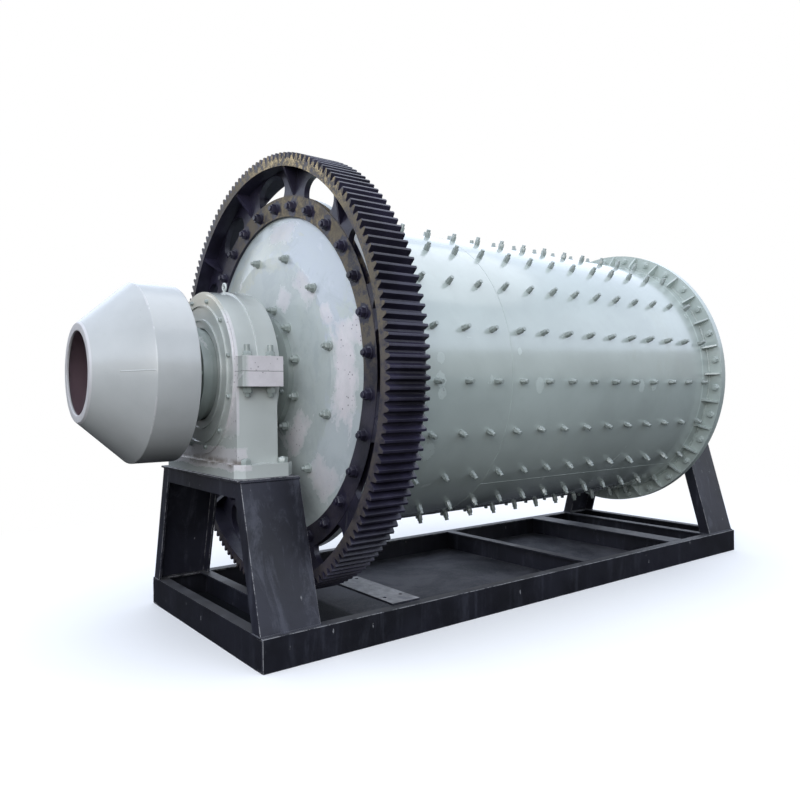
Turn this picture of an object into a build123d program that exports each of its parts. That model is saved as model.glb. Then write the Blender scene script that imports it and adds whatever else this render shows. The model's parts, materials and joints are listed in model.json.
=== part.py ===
from build123d import *
from math import acos, cos, pi, radians, sin, sqrt, tan
import os

os.makedirs("parts", exist_ok=True)

# A horizontal grinding drum on two trunnions, with a girth gear at its feed end.
# X runs along the drum from the feed end to the discharge end, Y across, Z up.
# The origin is on the floor, under the middle of the whole length. Sizes in mm.

# Heights
gear_above_floor = 170.0
axis_above_stand = 522.0
base_height = 160.0

# Base frame of channels
base_length = 4130.0
base_width = 1490.0
channel_flange = 65.0
channel_web = 9.0
channel_flange_thickness = 10.0
front_cross_from_end = 277.0
middle_cross_from_centre = 340.0
wide_beam_from_end = 798.0
wide_beam_width = 154.0
mounting_plate_from_end = 774.0
mounting_plate_width = 179.0
mounting_plate_thickness = 12.0
mounting_plate_seat = 10.0
mounting_hole_radius = 11.0
mounting_hole_pitch_x = 106.0
mounting_hole_edge = 123.0
mounting_hole_middle_gap = 270.0
floor_sheet_thickness = 5.0

# Stands
leg_length = 320.0
leg_flange = 84.0
leg_web = 12.0
leg_flange_thickness = 14.0
leg_foot_inset = 23.0
stand_top_width = 1058.0
stand_top_thickness = 12.0
stand_top_overhang = 15.0
fascia_height = 80.0
fascia_thickness = 10.0
fascia_flange = 45.0

# Trunnion bearings
housing_radius = 438.0
housing_width = 220.0
housing_bore = 300.0
cap_band_width = 102.0
cap_band_step = 8.0
split_gap = 2.0
ear_reach = 72.0
ear_length = 218.0
ear_height = 74.0
plinth_length = 316.0
plinth_width = 990.0
plinth_height = 67.0
plinth_chamfer = 42.0
cover_radius = 425.0
cover_thickness = 12.0
inner_cover_radius = 441.0
inner_cover_thickness = 16.0
seal_rib_radius = 289.0
cover_rib_radius = 365.0
cover_rib_width = 10.0
cover_rib_height = 8.0
race_width = 200.0
bearing_from_base_end = 137.0
lifting_eye_from_centre = 26.0
lifting_eye_radius = 19.0
lifting_eye_wire = 6.0
lifting_eye_neck = 12.0
lifting_eye_boss = 2.0

# Drum
shell_radius = 900.0
shell_wall = 16.0
front_head_to_bearing = 369.0
rear_head_to_bearing = 438.0
flange_height = 96.0
shell_flange_thickness = 25.0
head_flange_thickness = 25.0
gusset_count = 30
gusset_length = 68.0
gusset_height = 88.0
gusset_thickness = 12.0
gusset_tip = 14.0
gusset_phase = 5.5

# Heads
head_rim_inset = 107.0
head_rim_step = 19.0
head_mid_inset = 336.0
head_mid_rise = 57.0
head_hub_radius = 378.0
head_hub_rise = 27.0
head_wall = 45.0

# Trunnions
journal_radius = 240.0
trunnion_bore = 190.0
hub_flange_radius = 330.0
hub_flange_thickness = 30.0
hub_cone_length = 42.0
hub_cone_radius = 262.0
collar_radius = 253.0
collar_from_cover = 20.0
collar_length = 48.0

# Feeder
feed_gap = 91.0
feed_wall = 12.0
feed_band_radius = 454.0
feed_band_length = 208.0
feed_cone_length = 228.0
feed_mouth_outer = 241.0
feed_mouth_radius = 205.0
feed_tube_wall = 8.0
feed_tube_reach = 240.0
spacer_count = 8
spacer_radius = 11.0
spacer_ring_radius = 221.0

# Discharge spout
spout_flange_radius = 300.0
spout_flange_thickness = 24.0
spout_length = 136.0
spout_mouth_radius = 262.0
spout_wall = 10.0

# Girth gear
gear_pitch_height = 204.0
gear_teeth = 160
pressure_angle = 20.0
gear_face = 229.0
gear_rim_thickness = 38.0
gear_front_to_flange = 85.0
gear_flange_thickness = 36.0
gear_flange_step = 4.0
spoke_count = 12
spoke_phase = 13.3
spoke_thickness = 32.0
spoke_rib_thickness = 22.0
spoke_rib_edge = 6.0
spoke_rib_foot = 8.0
window_rim_lip = 3.0
window_root_lip = 9.0
window_half_width = 158.0
window_corner = 27.0

# Clearances
journal_clearance = 0.1
seal_clearance = 6.0
spigot_clearance = 0.3
tube_clearance = 2.0
cope_clearance = 0.3
rib_seat = 0.3

# Radii of the drum and its gear, and the heights that follow from them
flange_radius = shell_radius + flange_height
head_rim_radius = flange_radius - head_rim_inset
head_mid_radius = flange_radius - head_mid_inset
gear_flange_radius = flange_radius + gear_flange_step
pitch_radius = flange_radius + gear_pitch_height
gear_module = 2 * pitch_radius / gear_teeth
tip_radius = pitch_radius + gear_module
root_radius = pitch_radius - 1.25 * gear_module
axis_height = gear_above_floor + tip_radius
stand_top_height = axis_height - axis_above_stand

# Bearings, stands and base, measured along X from the middle of the base
base_end = base_length / 2
bearing_from_middle = base_end - bearing_from_base_end
wide_beam_from_middle = base_end - wide_beam_from_end
mounting_plate_from_middle = base_end - mounting_plate_from_end
housing_inner = bearing_from_middle - housing_width / 2
housing_outer = bearing_from_middle + housing_width / 2
cover_outer = housing_outer + cover_thickness + cover_rib_height
collar_start = cover_outer + collar_from_cover
trunnion_end = collar_start + collar_length

# Feeder and discharge end, measured from the middle of the base
feed_back = trunnion_end + feed_gap
feed_band_start = feed_back + feed_band_length
mouth_face = feed_band_start + feed_cone_length
feed_reach = mouth_face + feed_wall
discharge_reach = trunnion_end + spout_flange_thickness + spout_length
frame_x = (feed_reach - discharge_reach) / 2

# Shell, heads and gear, measured from the middle of the shell
drum_offset = (rear_head_to_bearing - front_head_to_bearing) / 2
drum_x = frame_x - drum_offset
head_face = bearing_from_middle - (front_head_to_bearing + rear_head_to_bearing) / 2
shell_end = head_face - head_flange_thickness
flange_inner = shell_end - shell_flange_thickness
head_rim = head_face + head_rim_step
head_mid = head_rim + head_mid_rise
head_hub = head_mid + head_hub_rise
gear_front = head_face + gear_flange_thickness + gear_front_to_flange

# Frames used by the sketches
drum_axis = Axis((drum_x, 0, axis_height), (1, 0, 0))
drum_profile = Plane(origin=(drum_x, 0, axis_height), x_dir=(1, 0, 0), z_dir=(0, -1, 0))
drum_middle = Plane(origin=(drum_x, 0, axis_height), x_dir=(0, 1, 0), z_dir=(1, 0, 0))
bearing_profile = Plane(origin=(frame_x, 0, axis_height), x_dir=(1, 0, 0), z_dir=(0, -1, 0))
bearing_middle = Plane(origin=(frame_x, 0, axis_height), x_dir=(0, 1, 0), z_dir=(1, 0, 0))
frame_middle = Plane(origin=(frame_x, 0, 0), x_dir=(0, 1, 0), z_dir=(1, 0, 0))
frame_side = Plane(origin=(frame_x, 0, 0), x_dir=(1, 0, 0), z_dir=(0, -1, 0))


def drum_plane(x):
    return drum_middle.offset(x)


def bearing_plane(x):
    return bearing_middle.offset(x)


def section_plane(x):
    return frame_middle.offset(x)


# Side beams: channels with the web outward
web_face = base_width / 2
flange_edge = web_face - channel_flange
web_inner = web_face - channel_web
channel_inner = base_height - channel_flange_thickness

channel_section = [
    (web_face, 0),
    (web_face, base_height),
    (flange_edge, base_height),
    (flange_edge, channel_inner),
    (web_inner, channel_inner),
    (web_inner, channel_flange_thickness),
    (flange_edge, channel_flange_thickness),
    (flange_edge, 0),
]

with BuildPart() as side_beam_right:
    with BuildSketch(section_plane(-base_end)):
        with BuildLine():
            Polyline(*[(-y, z) for y, z in channel_section], close=True)
        make_face()
    extrude(amount=base_length)
side_beam_right.part.label = "side_beam_right"
export_step(side_beam_right.part, "parts/side_beam_right.step")

with BuildPart() as side_beam_left:
    with BuildSketch(section_plane(-base_end)):
        with BuildLine():
            Polyline(*channel_section, close=True)
        make_face()
    extrude(amount=base_length)
side_beam_left.part.label = "side_beam_left"
export_step(side_beam_left.part, "parts/side_beam_left.step")


def cross_channel(x_web, toward):
    return [
        (x_web, 0),
        (x_web, base_height),
        (x_web + toward * channel_flange, base_height),
        (x_web + toward * channel_flange, channel_inner),
        (x_web + toward * channel_web, channel_inner),
        (x_web + toward * channel_web, channel_flange_thickness),
        (x_web + toward * channel_flange, channel_flange_thickness),
        (x_web + toward * channel_flange, 0),
    ]


cope_height = channel_inner - channel_flange_thickness - 2 * cope_clearance

# End beams: webs outward, coped to pass between the flanges of the side beams
with BuildPart() as end_beam_front:
    with BuildSketch(frame_side):
        with BuildLine():
            Polyline(*cross_channel(-base_end, 1), close=True)
        make_face()
    extrude(amount=flange_edge, both=True)
    with Locations((frame_x - base_end + channel_web / 2, 0, base_height / 2)):
        Box(channel_web, 2 * web_inner, cope_height)
end_beam_front.part.label = "end_beam_front"
export_step(end_beam_front.part, "parts/end_beam_front.step")

with BuildPart() as end_beam_rear:
    with BuildSketch(frame_side):
        with BuildLine():
            Polyline(*cross_channel(base_end, -1), close=True)
        make_face()
    extrude(amount=flange_edge, both=True)
    with Locations((frame_x + base_end - channel_web / 2, 0, base_height / 2)):
        Box(channel_web, 2 * web_inner, cope_height)
end_beam_rear.part.label = "end_beam_rear"
export_step(end_beam_rear.part, "parts/end_beam_rear.step")

# Cross beams behind the front legs, under the drum and before the rear legs
cross_webs = [
    -base_end + front_cross_from_end + channel_flange,
    middle_cross_from_centre,
    base_end - front_cross_from_end,
]

with BuildPart() as cross_beams:
    for x_web in cross_webs:
        with BuildSketch(frame_side):
            with BuildLine():
                Polyline(*cross_channel(x_web, -1), close=True)
            make_face()
        extrude(amount=flange_edge, both=True)
        with Locations((frame_x + x_web - channel_web / 2, 0, base_height / 2)):
            Box(channel_web, 2 * web_inner, cope_height)
cross_beams.part.label = "cross_beams"
export_step(cross_beams.part, "parts/cross_beams.step")

# Wide beam: two webs under one broad plate
with BuildPart() as wide_beam:
    with Locations((frame_x + wide_beam_from_middle + wide_beam_width / 2, 0, 0)):
        with Locations((0, 0, base_height - channel_flange_thickness / 2)):
            Box(wide_beam_width, 2 * flange_edge, channel_flange_thickness)
        with Locations((0, 0, channel_flange_thickness / 2)):
            Box(wide_beam_width, 2 * flange_edge, channel_flange_thickness)
        with Locations((0, 0, base_height / 2)):
            Box(channel_web, 2 * flange_edge, base_height)
            Box(channel_web, 2 * web_inner, cope_height)
wide_beam.part.label = "wide_beam"
export_step(wide_beam.part, "parts/wide_beam.step")

# Mounting plate: lies on the side beams behind the gear, drilled near both ends
plate_middle = frame_x - mounting_plate_from_middle + mounting_plate_width / 2
plate_half = flange_edge + mounting_plate_seat
mounting_hole_pitch_y = plate_half - mounting_hole_edge - mounting_hole_middle_gap / 2
mounting_hole_group_y = (mounting_hole_middle_gap + mounting_hole_pitch_y) / 2

with BuildPart() as mounting_plate:
    with Locations((plate_middle, 0, base_height + mounting_plate_thickness / 2)):
        Box(mounting_plate_width, 2 * plate_half, mounting_plate_thickness)
    with BuildSketch(Plane.XY.offset(base_height)):
        for group_y in (-mounting_hole_group_y, mounting_hole_group_y):
            with Locations((plate_middle, group_y)):
                with GridLocations(mounting_hole_pitch_x, mounting_hole_pitch_y, 2, 2):
                    Circle(mounting_hole_radius)
    extrude(amount=mounting_plate_thickness, mode=Mode.SUBTRACT)
mounting_plate.part.label = "mounting_plate"
export_step(mounting_plate.part, "parts/mounting_plate.step")

# Floor sheets: one in each bay, lying on the lower flanges
bay_edges = [
    (-base_end + channel_web, cross_webs[0] - channel_web),
    (cross_webs[0], cross_webs[1] - channel_web),
    (cross_webs[1], wide_beam_from_middle + (wide_beam_width - channel_web) / 2),
    (wide_beam_from_middle + (wide_beam_width + channel_web) / 2, cross_webs[2] - channel_web),
    (cross_webs[2], base_end - channel_web),
]

with BuildPart() as floor_sheets:
    for x_low, x_high in bay_edges:
        sheet_z = channel_flange_thickness + floor_sheet_thickness / 2
        with Locations((frame_x + (x_low + x_high) / 2, 0, sheet_z)):
            Box(x_high - x_low, 2 * web_inner, floor_sheet_thickness)
floor_sheets.part.label = "floor_sheets"
export_step(floor_sheets.part, "parts/floor_sheets.step")

# Stand legs: channels, web outward, leaning in from the base to the stand top
leg_top = stand_top_height - stand_top_thickness
leg_foot_y = web_face - leg_foot_inset
leg_head_y = stand_top_width / 2
lean = (leg_foot_y - leg_head_y) / (leg_top - base_height)


def leg_strip(side, depth):
    return [
        (side * leg_foot_y, base_height),
        (side * leg_head_y, leg_top),
        (side * (leg_head_y - depth), leg_top),
        (side * (leg_foot_y - depth), base_height),
    ]


def leg_blocks(end):
    outer = end * base_end
    inner = end * (base_end - leg_length)
    low = min(outer, inner)
    high = max(outer, inner)
    return [
        (low, leg_flange_thickness, leg_flange),
        (high - leg_flange_thickness, leg_flange_thickness, leg_flange),
        (low, high - low, leg_web),
    ]


with BuildPart() as front_leg_right:
    for x_low, run, depth in leg_blocks(-1):
        with BuildSketch(section_plane(x_low)):
            with BuildLine():
                Polyline(*leg_strip(-1, depth), close=True)
            make_face()
        extrude(amount=run)
front_leg_right.part.label = "front_leg_right"
export_step(front_leg_right.part, "parts/front_leg_right.step")

with BuildPart() as front_leg_left:
    for x_low, run, depth in leg_blocks(-1):
        with BuildSketch(section_plane(x_low)):
            with BuildLine():
                Polyline(*leg_strip(1, depth), close=True)
            make_face()
        extrude(amount=run)
front_leg_left.part.label = "front_leg_left"
export_step(front_leg_left.part, "parts/front_leg_left.step")

with BuildPart() as rear_leg_right:
    for x_low, run, depth in leg_blocks(1):
        with BuildSketch(section_plane(x_low)):
            with BuildLine():
                Polyline(*leg_strip(-1, depth), close=True)
            make_face()
        extrude(amount=run)
rear_leg_right.part.label = "rear_leg_right"
export_step(rear_leg_right.part, "parts/rear_leg_right.step")

with BuildPart() as rear_leg_left:
    for x_low, run, depth in leg_blocks(1):
        with BuildSketch(section_plane(x_low)):
            with BuildLine():
                Polyline(*leg_strip(1, depth), close=True)
            make_face()
        extrude(amount=run)
rear_leg_left.part.label = "rear_leg_left"
export_step(rear_leg_left.part, "parts/rear_leg_left.step")

# Stand fascias: short channels across the top, between the legs
fascia_low = leg_top - fascia_height
fascia_top_y = leg_head_y - leg_flange
fascia_low_y = fascia_top_y + lean * fascia_height
fascia_lip_y = fascia_low_y - lean * fascia_thickness


def fascia_blocks(end):
    outer = end * base_end
    inner = end * (base_end - leg_length)
    low = min(outer, inner)
    high = max(outer, inner)
    return [(low, low), (high - fascia_thickness, high - fascia_flange)]


web_shape = [
    (-fascia_low_y, fascia_low),
    (fascia_low_y, fascia_low),
    (fascia_top_y, leg_top),
    (-fascia_top_y, leg_top),
]
lip_shape = [
    (-fascia_low_y, fascia_low),
    (fascia_low_y, fascia_low),
    (fascia_lip_y, fascia_low + fascia_thickness),
    (-fascia_lip_y, fascia_low + fascia_thickness),
]

with BuildPart() as front_fascias:
    for x_web, x_lip in fascia_blocks(-1):
        with BuildSketch(section_plane(x_web)):
            with BuildLine():
                Polyline(*web_shape, close=True)
            make_face()
        extrude(amount=fascia_thickness)
        with BuildSketch(section_plane(x_lip)):
            with BuildLine():
                Polyline(*lip_shape, close=True)
            make_face()
        extrude(amount=fascia_flange)
front_fascias.part.label = "front_fascias"
export_step(front_fascias.part, "parts/front_fascias.step")

with BuildPart() as rear_fascias:
    for x_web, x_lip in fascia_blocks(1):
        with BuildSketch(section_plane(x_web)):
            with BuildLine():
                Polyline(*web_shape, close=True)
            make_face()
        extrude(amount=fascia_thickness)
        with BuildSketch(section_plane(x_lip)):
            with BuildLine():
                Polyline(*lip_shape, close=True)
            make_face()
        extrude(amount=fascia_flange)
rear_fascias.part.label = "rear_fascias"
export_step(rear_fascias.part, "parts/rear_fascias.step")

# Stand tops
top_length = leg_length + stand_top_overhang
top_middle = base_end - leg_length + top_length / 2
top_z = leg_top + stand_top_thickness / 2

with BuildPart() as front_stand_top:
    with Locations((frame_x - top_middle, 0, top_z)):
        Box(top_length, stand_top_width, stand_top_thickness)
front_stand_top.part.label = "front_stand_top"
export_step(front_stand_top.part, "parts/front_stand_top.step")

with BuildPart() as rear_stand_top:
    with Locations((frame_x + top_middle, 0, top_z)):
        Box(top_length, stand_top_width, stand_top_thickness)
rear_stand_top.part.label = "rear_stand_top"
export_step(rear_stand_top.part, "parts/rear_stand_top.step")

# Bearing bases: plinth, block and half of the ears under the split
plinth_top = stand_top_height + plinth_height
plinth_middle = base_end - leg_length / 2
ear_y = housing_radius + ear_reach

with BuildPart() as front_bearing_base:
    with BuildSketch(Plane.XY.offset(stand_top_height)):
        with Locations((frame_x - plinth_middle, 0)):
            Rectangle(plinth_length, plinth_width)
        chamfer(vertices(), length=plinth_chamfer)
    extrude(amount=plinth_height)
    with BuildSketch(section_plane(-housing_outer)):
        with Locations((0, (plinth_top + axis_height) / 2)):
            Rectangle(2 * housing_radius, axis_height - plinth_top)
    extrude(amount=housing_width)
    with BuildSketch(section_plane(-bearing_from_middle - ear_length / 2)):
        with Locations((0, axis_height - ear_height / 2)):
            Rectangle(2 * ear_y, ear_height)
    extrude(amount=ear_length)
    with BuildSketch(bearing_plane(-housing_outer)):
        Circle(housing_bore)
    extrude(amount=housing_width, mode=Mode.SUBTRACT)
front_bearing_base.part.label = "front_bearing_base"
export_step(front_bearing_base.part, "parts/front_bearing_base.step")

with BuildPart() as rear_bearing_base:
    mirror(front_bearing_base.part, about=frame_middle)
rear_bearing_base.part.label = "rear_bearing_base"
export_step(rear_bearing_base.part, "parts/rear_bearing_base.step")

# Bearing caps: half rounds with the other half of the ears
cap_low = axis_height + split_gap

with BuildPart() as front_bearing_cap:
    with BuildSketch(bearing_plane(-housing_outer)):
        Circle(housing_radius)
    extrude(amount=housing_width)
    with BuildSketch(bearing_plane(-housing_inner - cap_band_width)):
        Circle(housing_radius + cap_band_step)
    extrude(amount=cap_band_width)
    with BuildSketch(section_plane(-bearing_from_middle - ear_length / 2)):
        with Locations((0, cap_low + ear_height / 2)):
            Rectangle(2 * ear_y, ear_height)
    extrude(amount=ear_length)
    with BuildSketch(bearing_plane(-housing_outer)):
        Circle(housing_bore)
    extrude(amount=housing_width, mode=Mode.SUBTRACT)
    with Locations((frame_x - bearing_from_middle, 0, cap_low - axis_height / 2)):
        Box(2 * housing_width, 4 * ear_y, axis_height, mode=Mode.SUBTRACT)
front_bearing_cap.part.label = "front_bearing_cap"
export_step(front_bearing_cap.part, "parts/front_bearing_cap.step")

with BuildPart() as rear_bearing_cap:
    mirror(front_bearing_cap.part, about=frame_middle)
rear_bearing_cap.part.label = "rear_bearing_cap"
export_step(rear_bearing_cap.part, "parts/rear_bearing_cap.step")

# Seal covers: a ring on each side of the housing, with two raised circles outside
seal_radius = journal_radius + seal_clearance

with BuildPart() as front_bearing_covers:
    with BuildSketch(bearing_plane(-housing_inner)):
        Circle(inner_cover_radius)
        Circle(seal_radius, mode=Mode.SUBTRACT)
    extrude(amount=inner_cover_thickness)
    with BuildSketch(bearing_plane(-housing_outer - cover_thickness)):
        Circle(cover_radius)
        Circle(seal_radius, mode=Mode.SUBTRACT)
    extrude(amount=cover_thickness)
    for rib_radius in (cover_rib_radius, seal_rib_radius):
        with BuildSketch(bearing_plane(-cover_outer)):
            Circle(rib_radius + cover_rib_width / 2)
            Circle(rib_radius - cover_rib_width / 2, mode=Mode.SUBTRACT)
        extrude(amount=cover_rib_height)
front_bearing_covers.part.label = "front_bearing_covers"
export_step(front_bearing_covers.part, "parts/front_bearing_covers.step")

with BuildPart() as rear_bearing_covers:
    mirror(front_bearing_covers.part, about=frame_middle)
rear_bearing_covers.part.label = "rear_bearing_covers"
export_step(rear_bearing_covers.part, "parts/rear_bearing_covers.step")

# Races: the fixed rings that the journals turn in
race_bore = journal_radius + journal_clearance

with BuildPart() as front_bearing_race:
    with BuildSketch(bearing_plane(-bearing_from_middle - race_width / 2)):
        Circle(housing_bore)
        Circle(race_bore, mode=Mode.SUBTRACT)
    extrude(amount=race_width)
front_bearing_race.part.label = "front_bearing_race"
export_step(front_bearing_race.part, "parts/front_bearing_race.step")

with BuildPart() as rear_bearing_race:
    mirror(front_bearing_race.part, about=frame_middle)
rear_bearing_race.part.label = "rear_bearing_race"
export_step(rear_bearing_race.part, "parts/rear_bearing_race.step")

# Lifting eyes on the caps
eye_x = frame_x - bearing_from_middle + lifting_eye_from_centre
eye_seat = axis_height + housing_radius + cap_band_step
eye_middle = eye_seat + lifting_eye_neck + lifting_eye_radius

with BuildPart() as front_lifting_eye:
    with BuildSketch(Plane.XY.offset(eye_seat)):
        with Locations((eye_x, 0)):
            Circle(lifting_eye_wire + lifting_eye_boss)
    extrude(amount=lifting_eye_neck + lifting_eye_wire / 2)
    with Locations(Location((eye_x, 0, eye_middle), (0, 90, 0))):
        Torus(lifting_eye_radius, lifting_eye_wire)
front_lifting_eye.part.label = "front_lifting_eye"
export_step(front_lifting_eye.part, "parts/front_lifting_eye.step")

with BuildPart() as rear_lifting_eye:
    mirror(front_lifting_eye.part, about=frame_middle)
rear_lifting_eye.part.label = "rear_lifting_eye"
export_step(rear_lifting_eye.part, "parts/rear_lifting_eye.step")

# Shell and its bolting flanges
with BuildPart() as shell:
    with BuildSketch(drum_plane(-shell_end)):
        Circle(shell_radius)
        Circle(shell_radius - shell_wall, mode=Mode.SUBTRACT)
    extrude(amount=2 * shell_end)
shell.part.label = "shell"
export_step(shell.part, "parts/shell.step")

with BuildPart() as front_shell_flange:
    with BuildSketch(drum_plane(-shell_end)):
        Circle(flange_radius)
        Circle(shell_radius, mode=Mode.SUBTRACT)
    extrude(amount=shell_flange_thickness)
front_shell_flange.part.label = "front_shell_flange"
export_step(front_shell_flange.part, "parts/front_shell_flange.step")

with BuildPart() as rear_shell_flange:
    with BuildSketch(drum_plane(flange_inner)):
        Circle(flange_radius)
        Circle(shell_radius, mode=Mode.SUBTRACT)
    extrude(amount=shell_flange_thickness)
rear_shell_flange.part.label = "rear_shell_flange"
export_step(rear_shell_flange.part, "parts/rear_shell_flange.step")

# Gussets between the shell and its flanges
shell_chord = sqrt(shell_radius**2 - (gusset_thickness / 2) ** 2)
gusset_shape = [
    (flange_inner, shell_chord),
    (flange_inner, shell_radius + gusset_height),
    (flange_inner - gusset_tip, shell_radius + gusset_height),
    (flange_inner - gusset_length, shell_radius + gusset_tip),
    (flange_inner - gusset_length, shell_chord),
]

with BuildPart() as rear_gusset:
    with BuildSketch(drum_profile):
        with BuildLine():
            Polyline(*gusset_shape, close=True)
        make_face()
    extrude(amount=gusset_thickness / 2, both=True)

with BuildPart() as rear_gussets:
    for index in range(gusset_count):
        turn = gusset_phase + index * 360 / gusset_count
        add(rear_gusset.part.rotate(drum_axis, turn))
    with BuildSketch(drum_plane(flange_inner - gusset_length)):
        Circle(shell_radius)
    extrude(amount=gusset_length, mode=Mode.SUBTRACT)
rear_gussets.part.label = "rear_gussets"
export_step(rear_gussets.part, "parts/rear_gussets.step")

with BuildPart() as front_gussets:
    mirror(rear_gussets.part, about=drum_middle)
front_gussets.part.label = "front_gussets"
export_step(front_gussets.part, "parts/front_gussets.step")

# Heads: shallow dished castings with a flange, a locating rim and a flat hub seat
shell_inner = shell_radius - shell_wall
head_shape = [
    (shell_end, flange_radius),
    (head_face, flange_radius),
    (head_face, head_rim_radius),
    (head_rim, head_rim_radius),
    (head_mid, head_mid_radius),
    (head_hub, head_hub_radius),
    (head_hub, trunnion_bore),
    (head_hub - head_wall, trunnion_bore),
    (head_hub - head_wall, head_hub_radius),
    (head_mid - head_wall, head_mid_radius),
    (shell_end, shell_inner - head_wall / 2),
]

with BuildPart() as rear_head:
    with BuildSketch(drum_profile):
        with BuildLine():
            Polyline(*head_shape, close=True)
        make_face()
    revolve(axis=drum_axis)
rear_head.part.label = "rear_head"
export_step(rear_head.part, "parts/rear_head.step")

with BuildPart() as front_head:
    mirror(rear_head.part, about=drum_middle)
front_head.part.label = "front_head"
export_step(front_head.part, "parts/front_head.step")

# Trunnions: hollow journals with a hub flange on the head and a collar outside


def trunnion_shape(seat):
    hub_face = seat + hub_flange_thickness
    hub_cone_end = hub_face + hub_cone_length
    return [
        (seat, trunnion_bore),
        (seat, hub_flange_radius),
        (hub_face, hub_flange_radius),
        (hub_cone_end, hub_cone_radius),
        (hub_cone_end, journal_radius),
        (collar_start, journal_radius),
        (collar_start, collar_radius),
        (trunnion_end, collar_radius),
        (trunnion_end, trunnion_bore),
    ]


with BuildPart() as rear_trunnion:
    with BuildSketch(bearing_profile):
        with BuildLine():
            Polyline(*trunnion_shape(head_hub - drum_offset), close=True)
        make_face()
    revolve(axis=drum_axis)
rear_trunnion.part.label = "rear_trunnion"
export_step(rear_trunnion.part, "parts/rear_trunnion.step")

with BuildPart() as front_trunnion:
    with BuildSketch(bearing_profile):
        with BuildLine():
            Polyline(*[(-x, r) for x, r in trunnion_shape(head_hub + drum_offset)], close=True)
        make_face()
    revolve(axis=drum_axis)
front_trunnion.part.label = "front_trunnion"
export_step(front_trunnion.part, "parts/front_trunnion.step")

# Feeder: a cone and a band of sheet, closed by a back plate and a mouth ring
tube_radius = trunnion_bore - tube_clearance

with BuildPart() as feed_back_plate:
    with BuildSketch(bearing_plane(-feed_back - feed_wall)):
        Circle(feed_band_radius - feed_wall)
        Circle(tube_radius, mode=Mode.SUBTRACT)
    extrude(amount=feed_wall)
feed_back_plate.part.label = "feed_back_plate"
export_step(feed_back_plate.part, "parts/feed_back_plate.step")

with BuildPart() as feed_band:
    with BuildSketch(bearing_plane(-feed_band_start)):
        Circle(feed_band_radius)
        Circle(feed_band_radius - feed_wall, mode=Mode.SUBTRACT)
    extrude(amount=feed_band_length)
feed_band.part.label = "feed_band"
export_step(feed_band.part, "parts/feed_band.step")

cone_shape = [
    (-feed_band_start, feed_band_radius),
    (-mouth_face, feed_mouth_outer),
    (-mouth_face, feed_mouth_outer - feed_wall),
    (-feed_band_start, feed_band_radius - feed_wall),
]

with BuildPart() as feed_cone:
    with BuildSketch(bearing_profile):
        with BuildLine():
            Polyline(*cone_shape, close=True)
        make_face()
    revolve(axis=drum_axis)
feed_cone.part.label = "feed_cone"
export_step(feed_cone.part, "parts/feed_cone.step")

with BuildPart() as feed_mouth_ring:
    with BuildSketch(bearing_plane(-feed_reach)):
        Circle(feed_mouth_outer)
        Circle(feed_mouth_radius, mode=Mode.SUBTRACT)
    extrude(amount=feed_wall)
feed_mouth_ring.part.label = "feed_mouth_ring"
export_step(feed_mouth_ring.part, "parts/feed_mouth_ring.step")

with BuildPart() as feed_tube:
    with BuildSketch(bearing_plane(-feed_back - 2 * feed_wall)):
        Circle(tube_radius)
        Circle(tube_radius - feed_tube_wall, mode=Mode.SUBTRACT)
    extrude(amount=2 * feed_wall + feed_gap + feed_tube_reach)
feed_tube.part.label = "feed_tube"
export_step(feed_tube.part, "parts/feed_tube.step")

with BuildPart() as feed_spacers:
    with BuildSketch(bearing_plane(-feed_back)):
        with PolarLocations(spacer_ring_radius, spacer_count):
            Circle(spacer_radius)
    extrude(amount=feed_gap)
feed_spacers.part.label = "feed_spacers"
export_step(feed_spacers.part, "parts/feed_spacers.step")

# Discharge spout: a bolted ring and a short flared sheet
spout_start = trunnion_end + spout_flange_thickness
spout_shape = [
    (spout_start, trunnion_bore + spout_wall),
    (discharge_reach, spout_mouth_radius),
    (discharge_reach, spout_mouth_radius - spout_wall),
    (spout_start, trunnion_bore),
]

with BuildPart() as spout_ring:
    with BuildSketch(bearing_plane(trunnion_end)):
        Circle(spout_flange_radius)
        Circle(trunnion_bore, mode=Mode.SUBTRACT)
    extrude(amount=spout_flange_thickness)
spout_ring.part.label = "spout_ring"
export_step(spout_ring.part, "parts/spout_ring.step")

with BuildPart() as discharge_spout:
    with BuildSketch(bearing_profile):
        with BuildLine():
            Polyline(*spout_shape, close=True)
        make_face()
    revolve(axis=drum_axis)
discharge_spout.part.label = "discharge_spout"
export_step(discharge_spout.part, "parts/discharge_spout.step")

# Girth gear rim: involute spur teeth, each flank drawn through three points
base_circle = pitch_radius * cos(radians(pressure_angle))
gear_bore = root_radius - gear_rim_thickness


def involute(angle):
    return tan(angle) - angle


def half_tooth(radius):
    flank = involute(acos(base_circle / radius))
    return pi / (2 * gear_teeth) + involute(radians(pressure_angle)) - flank


tooth_radii = [root_radius, pitch_radius, tip_radius]
tooth_points = []
for tooth in range(gear_teeth):
    middle = 2 * pi * tooth / gear_teeth
    for radius in tooth_radii:
        turn = middle - half_tooth(radius)
        tooth_points.append((radius * cos(turn), radius * sin(turn)))
    for radius in reversed(tooth_radii):
        turn = middle + half_tooth(radius)
        tooth_points.append((radius * cos(turn), radius * sin(turn)))

with BuildPart() as gear_rim:
    with BuildSketch(drum_plane(-gear_front)):
        with BuildLine():
            Polyline(*tooth_points, close=True)
        make_face()
        Circle(gear_bore, mode=Mode.SUBTRACT)
    extrude(amount=gear_face)
gear_rim.part.label = "gear_rim"
export_step(gear_rim.part, "parts/gear_rim.step")

# Gear spider: bolting ring, twelve ribbed spokes reaching the rim
gear_ring_face = -head_face - gear_flange_thickness
ring_bore = head_rim_radius + spigot_clearance
web_start = gear_ring_face + (gear_flange_thickness - spoke_thickness) / 2
gear_back = -gear_front + gear_face
window_root = gear_flange_radius + window_root_lip
window_neck = window_root + window_corner
window_rise = gear_bore - window_rim_lip - window_neck

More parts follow.
